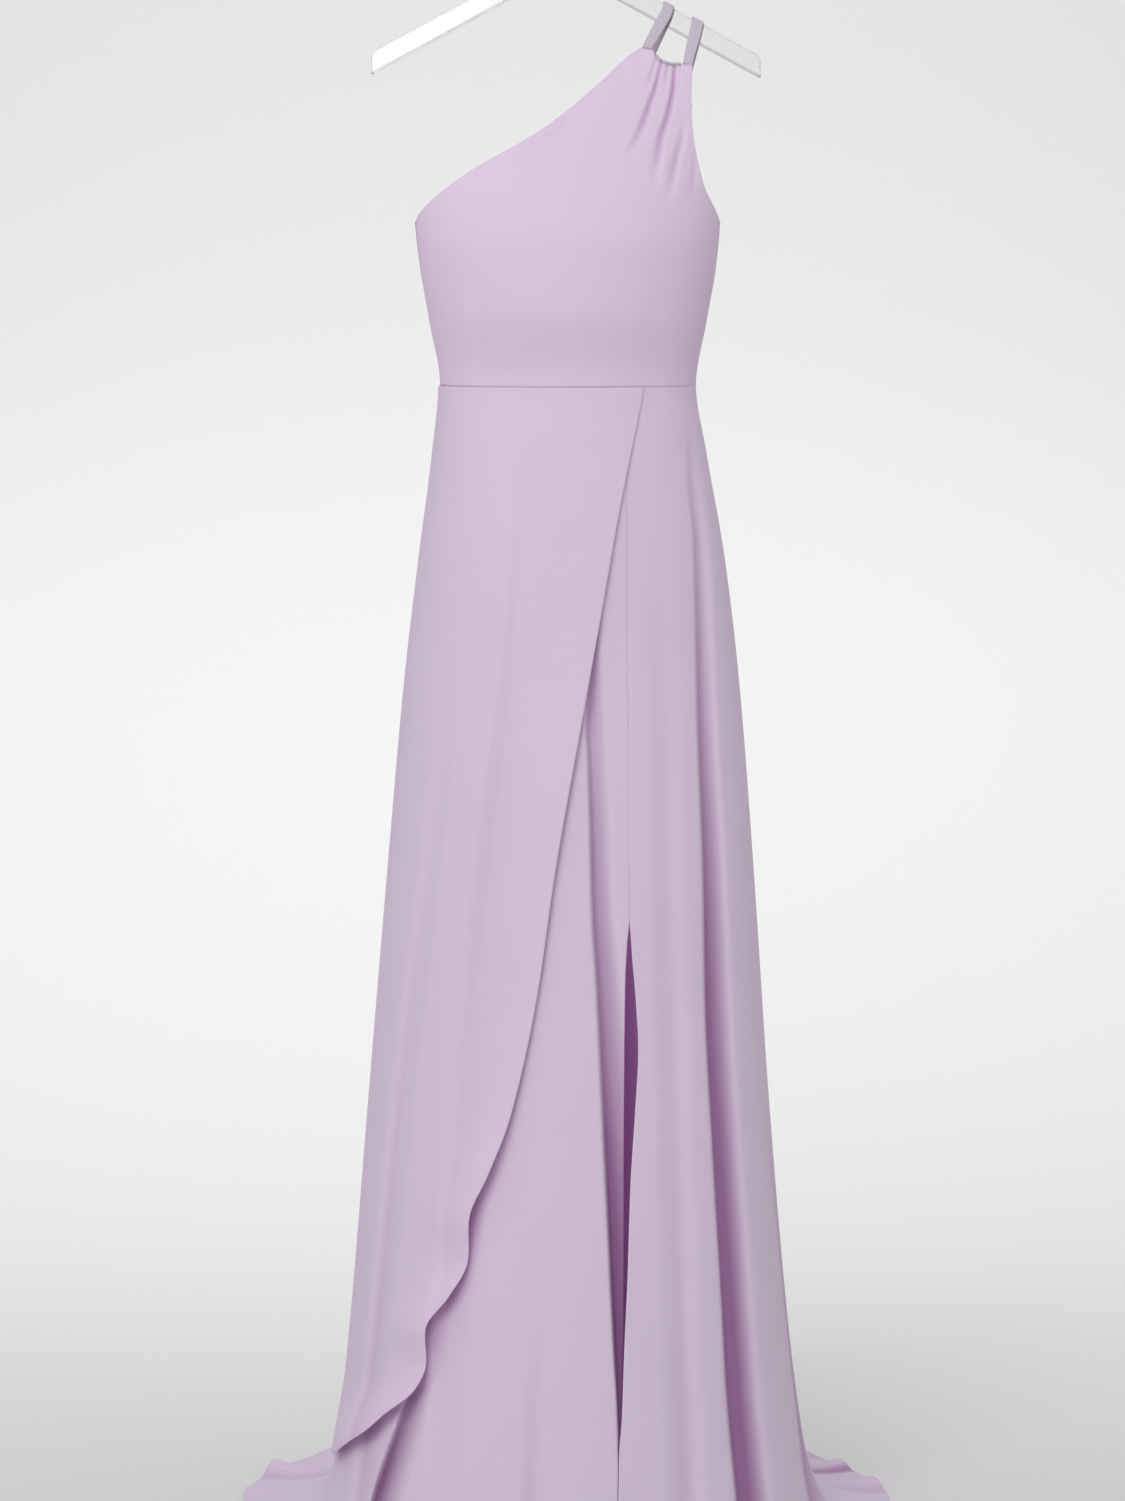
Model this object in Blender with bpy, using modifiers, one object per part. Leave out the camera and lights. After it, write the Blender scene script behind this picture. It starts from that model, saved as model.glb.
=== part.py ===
"""One-shoulder dress with a wrap skirt and a sweep train, hung by two straps on a clear hanger.

Metres, +Z up, origin at the inner top of the hanger's hook, the front of the dress facing -Y.
The tables are in millimetres. A drop is a distance below the origin. An x runs from the
middle line of the dress to the right as seen from the front. An angle goes round the dress
from its front middle, 0, past its right side in that view, 90, to its back middle, 180.
"""
import math

import bpy
import bmesh
from mathutils import Vector

MM = 0.001

# Driving sizes, in millimetres
WALL = 1.5
HALF_SEAM = 0.2
HALF_SIDE_SEAM = 0.3
HALF_SLIT_SEAM = 0.3
DRESS_X = 4.0
WAIST = 521.0
WAIST_DIP = 11.0
SWEEP_START = 1560.0
FLOOR = 1656.0
HEM_CLEARANCE = 0.5
FOLD_FADE = 60.0
FLAT_REACH = 100.0

# The plain form of the dress: half widths to the left and right, depths to the front and back
# columns: drop, left, right, front, back
LEFT, RIGHT, FRONT, BACK = 1, 2, 3, 4
FORM = (
    (176, 153, 153, 14, 12),
    (206, 153, 153, 26, 23),
    (256, 153, 153, 47, 42),
    (306, 153, 153, 70, 60),
    (358, 152, 153, 92, 74),
    (396, 148, 150, 102, 80),
    (456, 138, 140, 100, 82),
    (521, 127, 129, 85, 78),
    (586, 133, 139, 97, 98),
    (696, 147, 158, 112, 120),
    (816, 161, 172, 123, 134),
    (996, 177, 186, 138, 152),
    (1236, 197, 202, 160, 182),
    (1476, 217, 223, 184, 220),
    (1656, 238, 248, 200, 246),
)

# The bodice's top outline: the slanted neckline, columns x, drop, then the gathered edge between
# the straps, columns x, drop, and then the armhole, columns drop, x
NECKLINE = ((-152.0, 358), (-143.8, 350), (-122.3, 334), (-94.5, 316), (-59.0, 296), (-26.6, 276),
            (0.9, 254), (23.7, 233), (45.6, 211), (60.6, 196), (72.7, 187))
TOP_EDGE = ((72.7, 187.0), (84.5, 187.6), (88.5, 197.0), (96.5, 203.0), (105.4, 204.8), (114.0, 204.4),
            (116.5, 203.2), (124.5, 203.0))
ARMHOLE = ((203, 124.5), (209, 122.8), (251, 123.0), (282, 125.7), (312, 131.5), (332, 137.5),
           (341, 142.7), (358, 153.0))
BACK_NECKLINE = ((-152.0, 358), (-140.0, 352), (-110.0, 338), (-78.0, 320), (-40.0, 298), (-8.0, 275),
                 (20.0, 250), (46.0, 226), (64.0, 206), (76.0, 191))
BACK_TOP_EDGE = ((76.0, 191.0), (84.5, 191.6), (88.5, 201.0), (96.5, 207.0), (105.4, 208.8),
                 (114.0, 208.4), (116.5, 207.2), (123.5, 207.0))
BACK_ARMHOLE = ((207, 123.5), (255, 119.0), (300, 122.0), (330, 131.0), (345, 141.0), (358, 153.0))

# Creases and folds: a trough at x, so deep, and so wide to its left and right
# columns: drop, x, depth, left, right
GATHER_BOOST = 1.6
BODICE_GATHERS = (
    ((200, 89.0, 1.5, 3, 3), (217, 82.4, 1.5, 3, 3), (228, 79.0, 0.0, 3, 3)),
    ((200, 94.5, 2.5, 3, 4), (225, 88.3, 3.0, 4, 5), (275, 71.9, 2.0, 6, 8), (300, 63.0, 0.0, 8, 9)),
    ((200, 100.5, 1.8, 3, 3), (218, 98.3, 1.5, 3, 3), (232, 97.0, 0.0, 3, 3)),
    ((200, 108.0, 3.0, 4, 4), (229, 105.2, 3.5, 5, 5), (281, 92.7, 2.5, 7, 7), (325, 84.0, 0.0, 9, 9)),
    ((262, 117.0, 0.0, 5, 5), (292, 111.0, 2.0, 6, 6), (345, 101.0, 0.0, 8, 8)),
)
SLIT_FOLD = ((850, 22, 0, 5, 12), (904, 24, 5, 6, 16), (961, 27, 9, 6, 18), (1043, 29, 13, 7, 20),
             (1109, 33, 17, 7, 24), (1181, 37, 21, 7, 34), (1269, 41, 25, 7, 50), (1329, 44, 27, 6, 60),
             (1373, 46, 28, 5, 60), (1459, 49, 26, 4, 60), (1516, 51, 20, 3, 60), (1560, 51, 9, 3, 60),
             (1656, 50, 6, 4, 60))
DEEP_RIGHT_FOLD = ((540, 123, 0, 6, 14), (615, 123, 5, 6, 16), (679, 127, 9, 5, 18), (857, 130, 16, 5, 20),
                   (1013, 135, 22, 5, 24), (1128, 138, 27, 5, 28), (1273, 146, 31, 5, 30),
                   (1404, 154, 34, 6, 32), (1507, 160, 36, 6, 34), (1606, 170, 36, 7, 36),
                   (1656, 176, 36, 8, 38))
RIGHT_EDGE_FOLD = ((1150, 186, 0, 5, 16), (1310, 204, 8, 5, 22), (1440, 218, 14, 5, 24),
                   (1576, 233, 18, 5, 26), (1656, 240, 18, 5, 26))
RIGHT_MIDDLE_FOLD = ((700, 92, 0, 18, 18), (1000, 98, 4, 20, 20), (1400, 108, 6, 22, 22),
                     (1656, 116, 8, 24, 24))
LEFT_SOFT_FOLD = ((560, -28, 0, 12, 12), (681, -41, 3, 14, 16), (838, -57, 5, 15, 20),
                  (1038, -82, 6, 18, 24), (1300, -105, 5, 18, 26), (1656, -128, 4, 18, 26))
LEFT_SIDE_FOLD = ((800, -110, 0, 12, 12), (1032, -137, 4, 14, 14), (1227, -161, 6, 14, 16),
                  (1400, -178, 7, 14, 16), (1656, -205, 8, 14, 16))
LEFT_HEM_FOLDS = (
    ((1480, -145, 0, 8, 9), (1531, -161, 14, 9, 10), (1614, -190, 20, 9, 10), (1656, -198, 20, 9, 10)),
    ((1390, -20, 0, 14, 14), (1500, -28, 8, 14, 16), (1656, -36, 12, 14, 18)),
)
SHARED_LEFT_FOLDS = (LEFT_SOFT_FOLD, LEFT_SIDE_FOLD)
UNDER_LEFT_FOLDS = SHARED_LEFT_FOLDS + LEFT_HEM_FOLDS + (SLIT_FOLD,)
FRONT_RIGHT_FOLDS = (RIGHT_MIDDLE_FOLD, DEEP_RIGHT_FOLD, RIGHT_EDGE_FOLD)

# The folds of the skirt back, all alike in kind
# columns: x at the waist, x at the floor, start drop, depth at the floor, half width at the floor
BACK_FOLD_PLAN = (
    (-100, -192, 640, 24, 24),
    (-66, -130, 580, 28, 26),
    (-32, -66, 700, 20, 24),
    (36, 72, 620, 26, 24),
    (70, 136, 560, 30, 26),
    (102, 198, 660, 22, 24),
)

# The slit: the right edge of the left panel and the left edge of the right panel
# columns: drop, x
LEFT_LIP = ((521, 57.0), (838, 58.8), (1035, 60.4), (1069, 57.2), (1117, 55.0), (1197, 54.0), (1408, 53.4),
            (1459, 52.4), (1516, 51.0), (1547, 49.4), (1596, 48.4), (1656, 47.6))
RIGHT_LIP = ((521, 57.0), (838, 58.8), (1035, 60.4), (1071, 62.3), (1124, 66.5), (1168, 68.7),
             (1224, 65.8), (1299, 60.9), (1390, 57.8), (1450, 54.9), (1526, 51.9), (1547, 50.0),
             (1596, 48.9), (1656, 48.0))

# The wrap panel: its free edge and how far that edge stands off the panel under it
# columns: drop, x, lift
WRAP_EDGE = (
    (532, 74.2, 0.0),
    (574, 65.2, 1.0),
    (648, 50.3, 3.0),
    (743, 33.6, 5.0),
    (837, 17.2, 6.0),
    (1004, -11.7, 6.0),
    (1124, -28.9, 5.0),
    (1235, -52.7, 7.0),
    (1290, -71.7, 12.0),
    (1330, -88.0, 14.0),
    (1374, -92.7, 6.0),
    (1408, -108.1, 12.0),
    (1438, -127.5, 14.0),
    (1475, -131.2, 7.0),
    (1497, -140.0, 9.0),
    (1525, -167.7, 12.0),
    (1549, -189.1, 12.0),
    (1570, -212.7, 8.0),
    (1580, -221.0, 5.0),
)
WRAP_OUT = WALL + 0.3
WRAP_LIFT_WIDTH = 55.0
WRAP_TIP_OUT = 4.0
TUCK = 4.0
TUCK_START = 540.0
TUCK_FULL = 640.0
TUCK_EDGE = 25.0
TUCK_RAMP = 30.0
TUCK_END = 1500.0
TUCK_SIDE_X = 100.0

# The sweep of the hem along the floor, columns: angle from the front, reach past the form
SWEEP = ((0, 0), (55, 0), (75, 16), (90, 48), (105, 104), (116, 128), (124, 146), (135, 176), (145, 192),
         (165, 197), (180, 205))
# Waves along the edge of the train, columns: angle, height, half width in degrees
TRAIN_WAVES = (
    (-112, 7, 7),
    (-124, 11, 6),
    (-135, 15, 5),
    (-146, 10, 6),
    (-163, 13, 9),
    (178, 9, 10),
    (158, 12, 8),
    (143, 9, 6),
    (131, 13, 5),
    (117, 8, 7),
)
SWEEP_STEPS = (0.2, 0.4, 0.6, 0.8, 1.0)

# The straps, columns: x, y, drop, across in x, across in drop
STRAP_THICKNESS = 2.0
STRAP_INNER = (
    (79.4, -16.6, 186.5, 9.4, 1.2),
    (86.0, -12.6, 174.2, 10.0, 3.6),
    (93.0, -8.4, 161.2, 10.1, 5.2),
    (99.6, -5.1, 148.6, 10.1, 5.5),
    (101.3, -4.9, 142.9, 10.1, 5.5),
    (101.8, -3.7, 139.7, 10.1, 5.5),
    (102.0, 0.0, 138.7, 10.1, 5.5),
    (102.2, 3.7, 139.9, 10.1, 5.5),
    (102.3, 4.9, 143.2, 10.1, 5.5),
    (100.9, 5.1, 149.4, 10.1, 5.5),
    (94.5, 8.0, 163.0, 10.1, 5.0),
    (88.0, 11.4, 177.0, 10.0, 3.4),
    (82.4, 14.8, 190.4, 9.6, 1.0),
)
STRAP_OUTER = (
    (119.7, -15.0, 202.4, 9.2, 1.0),
    (122.4, -12.3, 191.5, 10.0, 3.0),
    (125.8, -8.6, 178.0, 10.6, 5.0),
    (129.2, -5.1, 164.4, 11.0, 6.0),
    (130.3, -4.9, 158.7, 11.0, 6.0),
    (130.8, -3.7, 155.5, 11.0, 6.0),
    (131.0, 0.0, 154.5, 11.0, 6.0),
    (131.2, 3.7, 155.6, 11.0, 6.0),
    (131.3, 4.9, 158.9, 11.0, 6.0),
    (130.0, 5.1, 165.2, 11.0, 6.0),
    (126.8, 8.0, 179.0, 10.6, 5.0),
    (123.6, 11.2, 193.0, 10.0, 3.0),
    (120.6, 14.0, 206.2, 9.4, 1.0),
)

# The binding between the straps, from and to an x
BINDING_RADIUS = 1.6
BINDING_FROM = 86.5
BINDING_TO = 114.5

# The hanger
ARM_THICKNESS = 4.5
ARM_HEIGHT = 20.5
ARM_APEX = 84.5
ARM_SLOPE = 0.545
ARM_LEFT = -191.0
ARM_RIGHT = 197.0
ARM_BEND = 26.0
ARM_CORNER = 4.0
BOSS_WIDTH = 14.0
BOSS_HEIGHT = 6.0
HOOK_WIRE = 2.2
HOOK_INNER = 19.0
HOOK_STEM_TOP = 52.0
HOOK_START_ANGLE = -35.0
HOOK_END_ANGLE = 205.0
HOOK_SHOULDER = (-5.5, -9.5)

# Columns lie closer together on a deep fold, and close to each edge of a panel
SPREAD_STEPS = 120
FOLD_NEAR = 10.0
FOLD_DENSITY = 2.6
DEEP_FOLD = 12.0
EDGE_COLUMN = 0.15

# Grid sizes: columns and rows of each panel
NECKLINE_COLUMNS = 11
TOP_EDGE_COLUMNS = 12
ARMHOLE_COLUMNS = 7
BODICE_ROWS = 12
UNDER_LEFT_COLUMNS = 24
RIGHT_COLUMNS = 22
WRAP_COLUMNS = 16
BACK_COLUMNS = 18
SKIRT_ROWS = 18
WRAP_ROWS = 15
HOOK_STEPS = 22
SHOULDER_STEPS = 6
WRAP_LEVEL_FROM = 1475.0

CLOTH_COLOUR = (0.62, 0.50, 0.65, 1.0)
STRAP_COLOUR = (0.56, 0.47, 0.60, 1.0)
HANGER_COLOUR = (0.86, 0.87, 0.88, 1.0)
HOOK_COLOUR = (0.72, 0.73, 0.75, 1.0)


def lookup(table, place, column):
    """Read a column at a place of the table's first column, on a smooth curve through its rows."""
    last = len(table) - 1
    if place <= table[0][0]:
        return table[0][column]
    if place >= table[last][0]:
        return table[last][column]
    above = next(row for row in range(1, last + 1) if table[row][0] >= place)

    def rise(row):
        return (table[row][column] - table[row - 1][column]) / (table[row][0] - table[row - 1][0])

    def slope(row):
        if row == 0:
            return rise(1)
        if row == last:
            return rise(last)
        before, after = rise(row), rise(row + 1)
        return 0.0 if before * after <= 0 else 2 * before * after / (before + after)

    start, end = table[above - 1], table[above]
    span = end[0] - start[0]
    t = (place - start[0]) / span
    leaving, arriving = span * slope(above - 1), span * slope(above)
    from_start = (2 * t ** 3 - 3 * t ** 2 + 1) * start[column] + (t ** 3 - 2 * t ** 2 + t) * leaving
    from_end = (3 * t ** 2 - 2 * t ** 3) * end[column] + (t ** 3 - t ** 2) * arriving
    return from_start + from_end


def ease(t):
    """Go from 0 to 1 softly."""
    t = min(max(t, 0.0), 1.0)
    return t * t * (3 - 2 * t)


def bump(t):
    """A soft hump, 1 in its middle and 0 from one half width on."""
    return 0.5 + 0.5 * math.cos(math.pi * t) if abs(t) < 1 else 0.0


def half_width(x, drop):
    return lookup(FORM, drop, LEFT if x < 0 else RIGHT)


def front_angle(x, drop):
    """The angle of a place on the front, from its x."""
    return math.degrees(math.asin(min(max(x / half_width(x, drop), -1.0), 1.0)))


def back_angle(x, drop):
    """The angle of a place on the back, from its x."""
    return 180.0 - front_angle(x, drop)


def form_point(angle, drop, out=0.0):
    """A point of the plain form, or moved out of it."""
    turn = math.radians(angle)
    side = lookup(FORM, drop, LEFT if math.sin(turn) < 0 else RIGHT)
    deep = lookup(FORM, drop, FRONT if math.cos(turn) > 0 else BACK)
    normal = Vector((math.sin(turn) / side, -math.cos(turn) / deep, 0)).normalized()
    return Vector((side * math.sin(turn), -deep * math.cos(turn), -drop)) + normal * out


def fold_depth(folds, x, drop):
    """How deep the folds are at a place."""
    depth = 0.0
    for fold in folds:
        offset = x - lookup(fold, drop, 1)
        width = lookup(fold, drop, 3 if offset < 0 else 4)
        inside = drop >= fold[0][0] and drop <= fold[-1][0]
        if inside and abs(offset) < width:
            depth += lookup(fold, drop, 2) * bump(offset / width)
    return depth


def push_in(point, depth):
    """Push a point of the front or back straight into the dress, less at the sides."""
    fade = min(1.0, abs(point.y) / FOLD_FADE)
    point.y += -depth * fade if point.y > 0 else depth * fade
    return point


def close_ends(angles):
    """Add a column close to each edge, so that the wall turns square to the seam there."""
    first = angles[0] + (angles[1] - angles[0]) * EDGE_COLUMN
    last = angles[-1] + (angles[-2] - angles[-1]) * EDGE_COLUMN
    return [angles[0], first] + angles[1:-1] + [last, angles[-1]]


def spread(left, right, count, folds, drop):
    """The angles of a row's points from left to right, closer together on the folds."""
    total = [0.0]
    for step in range(SPREAD_STEPS):
        angle = left + (right - left) * (step + 0.5) / SPREAD_STEPS
        x = form_point(angle, drop).x
        weight = 1.0
        for fold in folds:
            offset = x - lookup(fold, drop, 1)
            reach = FOLD_NEAR + lookup(fold, drop, 3 if offset < 0 else 4)
            weight += FOLD_DENSITY * bump(offset / reach) * min(1.0, lookup(fold, drop, 2) / DEEP_FOLD)
        total.append(total[-1] + weight)
    angles = []
    for column in range(count + 1):
        wanted = total[-1] * column / count
        step = next(i for i in range(1, SPREAD_STEPS + 1) if total[i] >= wanted - 1e-9)
        share = (wanted - total[step - 1]) / (total[step] - total[step - 1])
        angles.append(left + (right - left) * (step - 1 + share) / SPREAD_STEPS)
    return close_ends(angles)


def waist_drop(angle):
    return WAIST + WAIST_DIP * max(0.0, math.cos(math.radians(angle)))


def steps_between(start, end, count):
    """Even steps from a start up to, but not at, an end."""
    return [start + (end - start) * step / count for step in range(count)]


def bodice_outline(neckline, top_edge, armhole):
    """The places where the bodice's columns start, from the left underarm to the right one."""
    places = [(x, lookup(neckline, x, 1)) for x in
              steps_between(neckline[0][0], neckline[-1][0], NECKLINE_COLUMNS)]
    places += [(x, lookup(top_edge, x, 1)) for x in
               steps_between(top_edge[0][0], top_edge[-1][0], TOP_EDGE_COLUMNS)]
    places += [(lookup(armhole, drop, 1), drop) for drop in
               steps_between(armhole[0][0], armhole[-1][0], ARMHOLE_COLUMNS)]
    places.append((armhole[-1][1], armhole[-1][0]))
    return places


def bodice_rows(outline, folds, back):
    """Rows of points from the top outline to the waist seam, each one by rising angle."""
    places = outline[::-1] if back else outline
    to_angle = back_angle if back else front_angle
    start, end = (90.0, 270.0) if back else (-90.0, 90.0)
    rows = []
    for row in range(BODICE_ROWS + 1):
        t = row / BODICE_ROWS
        points = []
        for column in close_ends(list(range(len(places)))):
            index = min(int(column), len(places) - 2)
            share = column - index
            top_x = places[index][0] * (1 - share) + places[index + 1][0] * share
            top_drop = places[index][1] * (1 - share) + places[index + 1][1] * share
            top_angle = to_angle(top_x, top_drop)
            waist_angle = start + (end - start) * column / (len(places) - 1)
            angle = top_angle + (waist_angle - top_angle) * t
            drop = top_drop + (waist_drop(waist_angle) - HALF_SEAM - top_drop) * t
            x = form_point(angle, drop).x
            points.append(push_in(form_point(angle, drop), GATHER_BOOST * fold_depth(folds, x, drop)))
        rows.append(points)
    return rows


def sweep_reach(angle):
    around = abs((angle + 180.0) % 360.0 - 180.0)
    return lookup(SWEEP, around, 1)


def train_height(angle):
    """How high the waves along the train's edge stand."""
    around = (angle + 180.0) % 360.0 - 180.0
    height = 0.0
    for wave in TRAIN_WAVES:
        apart = (around - wave[0] + 180.0) % 360.0 - 180.0
        height += wave[1] * bump(apart / wave[2])
    return height


def swept_point(angle, sweep, folds, out):
    """A point of the lowest part of the skirt, where it turns out along the floor."""
    start = form_point(angle, SWEEP_START, out)
    foot = form_point(angle, FLOOR, out)
    foot.z = -FLOOR + WALL + HEM_CLEARANCE
    reach = sweep_reach(angle)
    hanging = start.lerp(foot, 1 - (1 - sweep) ** 2)
    point = hanging + Vector((foot.x, foot.y, 0)).normalized() * reach * sweep ** 2
    flat = ease(reach / FLAT_REACH)
    point.z += train_height(angle) * flat * sweep ** 3
    stays = 1 - flat * ease(sweep)
    return push_in(point, fold_depth(folds, hanging.x, -hanging.z) * stays)


def skirt_rows(left_edge, right_edge, columns, folds, out=0.0):
    """Rows of points of a full-length panel, from the waist seam to the hem."""
    rows = []
    for row in range(SKIRT_ROWS + 1):
        t = row / SKIRT_ROWS
        middle = WAIST + (SWEEP_START - WAIST) * t
        points = []
        for angle in spread(left_edge(middle), right_edge(middle), columns, folds, middle):
            top = waist_drop(angle) + HALF_SEAM
            drop = top + (SWEEP_START - top) * t
            x = form_point(angle, drop).x
            points.append(push_in(form_point(angle, drop, out), fold_depth(folds, x, drop)))
        rows.append(points)
    for sweep in SWEEP_STEPS:
        drop = SWEEP_START + (FLOOR - SWEEP_START) * (1 - (1 - sweep) ** 2)
        angles = spread(left_edge(drop), right_edge(drop), columns, folds, drop)
        rows.append([swept_point(angle, sweep, folds, out) for angle in angles])
    return rows


def tuck_under(rows):
    """Set the covered part of the under panel back, so that the wrap panel lies clear of it."""
    for points in rows:
        for point in points:
            drop = -point.z
            covered = ease((lookup(WRAP_EDGE, drop, 1) - TUCK_EDGE - point.x) / TUCK_RAMP)
            covered *= 1 - ease((drop - TUCK_END) / (SWEEP_START - TUCK_END))
            amount = TUCK * covered * ease((drop - TUCK_START) / (TUCK_FULL - TUCK_START))
            at_side = ease((-point.x - TUCK_SIDE_X) / FOLD_FADE)
            point.y += amount * min(1.0, abs(point.y) / (10 * TUCK))
            point.x += amount * at_side
    return rows


def wrap_drops():
    """The drops of the wrap panel's rows, closer where its free edge runs nearly level."""
    upper = [WAIST + (WRAP_LEVEL_FROM - WAIST) * step / WRAP_ROWS for step in range(WRAP_ROWS + 1)]
    lower = [row[0] for row in WRAP_EDGE if row[0] > WRAP_LEVEL_FROM]
    between = [0.5 * (above + below) for above, below in zip(lower, lower[1:-1])]
    return upper + sorted(lower + between)


def wrap_rows():
    """Rows of the wrap panel, made from the points of the panel under it, moved out."""
    rows = []
    for drop_level in wrap_drops():
        t = (drop_level - WAIST) / (WRAP_EDGE[-1][0] - WAIST)
        edge_x = lookup(WRAP_EDGE, drop_level + WAIST_DIP * (1 - ease(t * 6)), 1)
        right = front_angle(edge_x, drop_level)
        points = []
        for angle in spread(-90.0, right, WRAP_COLUMNS, SHARED_LEFT_FOLDS, drop_level):
            drop = drop_level + (waist_drop(angle) + HALF_SEAM - WAIST) * (1 - ease(t * 6))
            x = form_point(angle, drop).x
            nearness = ease(1 - (edge_x - x) / WRAP_LIFT_WIDTH)
            away_from_side = ease((angle + 90.0) / 25.0)
            out = WRAP_OUT + lookup(WRAP_EDGE, drop, 2) * nearness * away_from_side
            out += WRAP_TIP_OUT * ease((drop - SWEEP_START + 30.0) / 40.0)
            points.append(push_in(form_point(angle, drop, out), fold_depth(SHARED_LEFT_FOLDS, x, drop)))
        rows.append(points)
    return rows


def back_fold(waist_x, floor_x, start, depth, width):
    """A soft fold of the skirt back that grows from its start down to the floor."""
    def row(drop, share):
        along = (drop - WAIST) / (FLOOR - WAIST)
        x = waist_x + (floor_x - waist_x) * along
        return (drop, x, depth * share, width * (0.5 + 0.5 * along), width * (0.6 + 0.5 * along))

    middle = 0.5 * (start + FLOOR)
    return (row(start, 0.0), row(middle, 0.55), row(FLOOR, 1.0))


def material(name, colour, roughness, metallic=0.0):
    finish = bpy.data.materials.new(name)
    finish.use_nodes = True
    shader = finish.node_tree.nodes["Principled BSDF"]
    shader.inputs["Base Color"].default_value = colour
    shader.inputs["Roughness"].default_value = roughness
    shader.inputs["Metallic"].default_value = metallic
    finish.diffuse_color = colour
    return finish


def place(obj, finish, collection):
    obj.data.materials.append(finish)
    collection.objects.link(obj)
    return obj


def panel(name, rows, thickness, finish, collection, shift=(0.0, 0.0)):
    """A piece of cloth: a grid through the rows, given its wall on the inner side."""
    mesh = bpy.data.meshes.new(name)
    grid = bmesh.new()
    offset = Vector((DRESS_X + shift[0], shift[1], 0))
    verts = [[grid.verts.new((point + offset) * MM) for point in points] for points in rows]
    for upper, lower in zip(verts, verts[1:]):
        for column in range(len(upper) - 1):
            grid.faces.new((upper[column], lower[column], lower[column + 1], upper[column + 1]))
    grid.to_mesh(mesh)
    grid.free()
    mesh.shade_smooth()
    obj = bpy.data.objects.new(name, mesh)
    wall = obj.modifiers.new("wall", "SOLIDIFY")
    wall.thickness = thickness * MM
    wall.offset = -1.0
    return place(obj, finish, collection)


def strap_rows(table):
    """Rows of a strap, three points across, from its front end over the arm to its back end."""
    rows = []
    for x, y, drop, across, fall in table:
        rows.append([Vector((x + across * side, y, -(drop + fall * side))) for side in (-0.5, 0.0, 0.5)])
    return rows[::-1]


def tube(name, points, radius, finish, collection, resolution=2):
    curve = bpy.data.curves.new(name, "CURVE")
    curve.dimensions = "3D"
    curve.bevel_depth = radius * MM
    curve.bevel_resolution = resolution
    curve.use_fill_caps = True
    spline = curve.splines.new("POLY")
    spline.points.add(len(points) - 1)
    for target, point in zip(spline.points, points):
        target.co = (point.x * MM, point.y * MM, point.z * MM, 1.0)
    return place(bpy.data.objects.new(name, curve), finish, collection)


def binding_points(edge):
    """The path of the binding, just above the gathered part of a bodice's top edge."""
    seat = BINDING_RADIUS + 2 * HALF_SEAM
    gathered = [point for point in edge if BINDING_FROM < point.x < BINDING_TO]
    gathered.sort(key=lambda point: point.x)
    points = []
    for index, point in enumerate(gathered):
        ahead = gathered[min(index + 1, len(gathered) - 1)]
        behind = gathered[max(index - 1, 0)]
        along = Vector((ahead.x - behind.x, 0, ahead.z - behind.z)).normalized()
        middle = point - Vector((0, math.copysign(0.5 * WALL, point.y), 0))
        points.append(middle + Vector((-along.z, 0, along.x)) * seat + Vector((DRESS_X, 0, 0)))
    return points


def arm_edge(x):
    """The drop of the arms' upper edge, straight with a rounded bend in the middle."""
    away = abs(x)
    if away < ARM_BEND:
        return ARM_APEX + ARM_SLOPE * (away ** 2 + ARM_BEND ** 2) / (2 * ARM_BEND)
    return ARM_APEX + ARM_SLOPE * away


def hanger_arms(finish, collection):
    """Both arms in one moulding: a flat outline with thickness, and a boss for the hook."""
    curve = bpy.data.curves.new("hanger_arms", "CURVE")
    curve.dimensions = "2D"
    curve.fill_mode = "BOTH"
    curve.extrude = 0.5 * ARM_THICKNESS * MM
    bend = [ARM_BEND * step / 4 for step in range(-4, 5)]
    lower = [(x, -(arm_edge(x) + ARM_HEIGHT)) for x in [ARM_LEFT] + bend + [ARM_RIGHT]]
    boss_x = 0.5 * BOSS_WIDTH
    boss_z = -(arm_edge(0.0) - BOSS_HEIGHT)
    right = [(ARM_RIGHT, -(arm_edge(ARM_RIGHT) + ARM_CORNER)),
             (ARM_RIGHT - ARM_CORNER, -(arm_edge(ARM_RIGHT - ARM_CORNER)))]
    left = [(ARM_LEFT + ARM_CORNER, -(arm_edge(ARM_LEFT + ARM_CORNER))),
            (ARM_LEFT, -(arm_edge(ARM_LEFT) + ARM_CORNER))]
    upper = [(x, -arm_edge(x)) for x in reversed(bend) if abs(x) > boss_x]
    half = len(upper) // 2
    boss = [(boss_x, -arm_edge(boss_x)), (boss_x, boss_z), (-boss_x, boss_z), (-boss_x, -arm_edge(boss_x))]
    outline = lower + right + upper[:half] + boss + upper[half:] + left
    spline = curve.splines.new("POLY")
    spline.points.add(len(outline) - 1)
    for target, (x, z) in zip(spline.points, outline):
        target.co = (x * MM, z * MM, 0.0, 1.0)
    spline.use_cyclic_u = True
    obj = bpy.data.objects.new("hanger_arms", curve)
    obj.rotation_euler = (math.radians(90), 0, 0)
    return place(obj, finish, collection)


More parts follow.
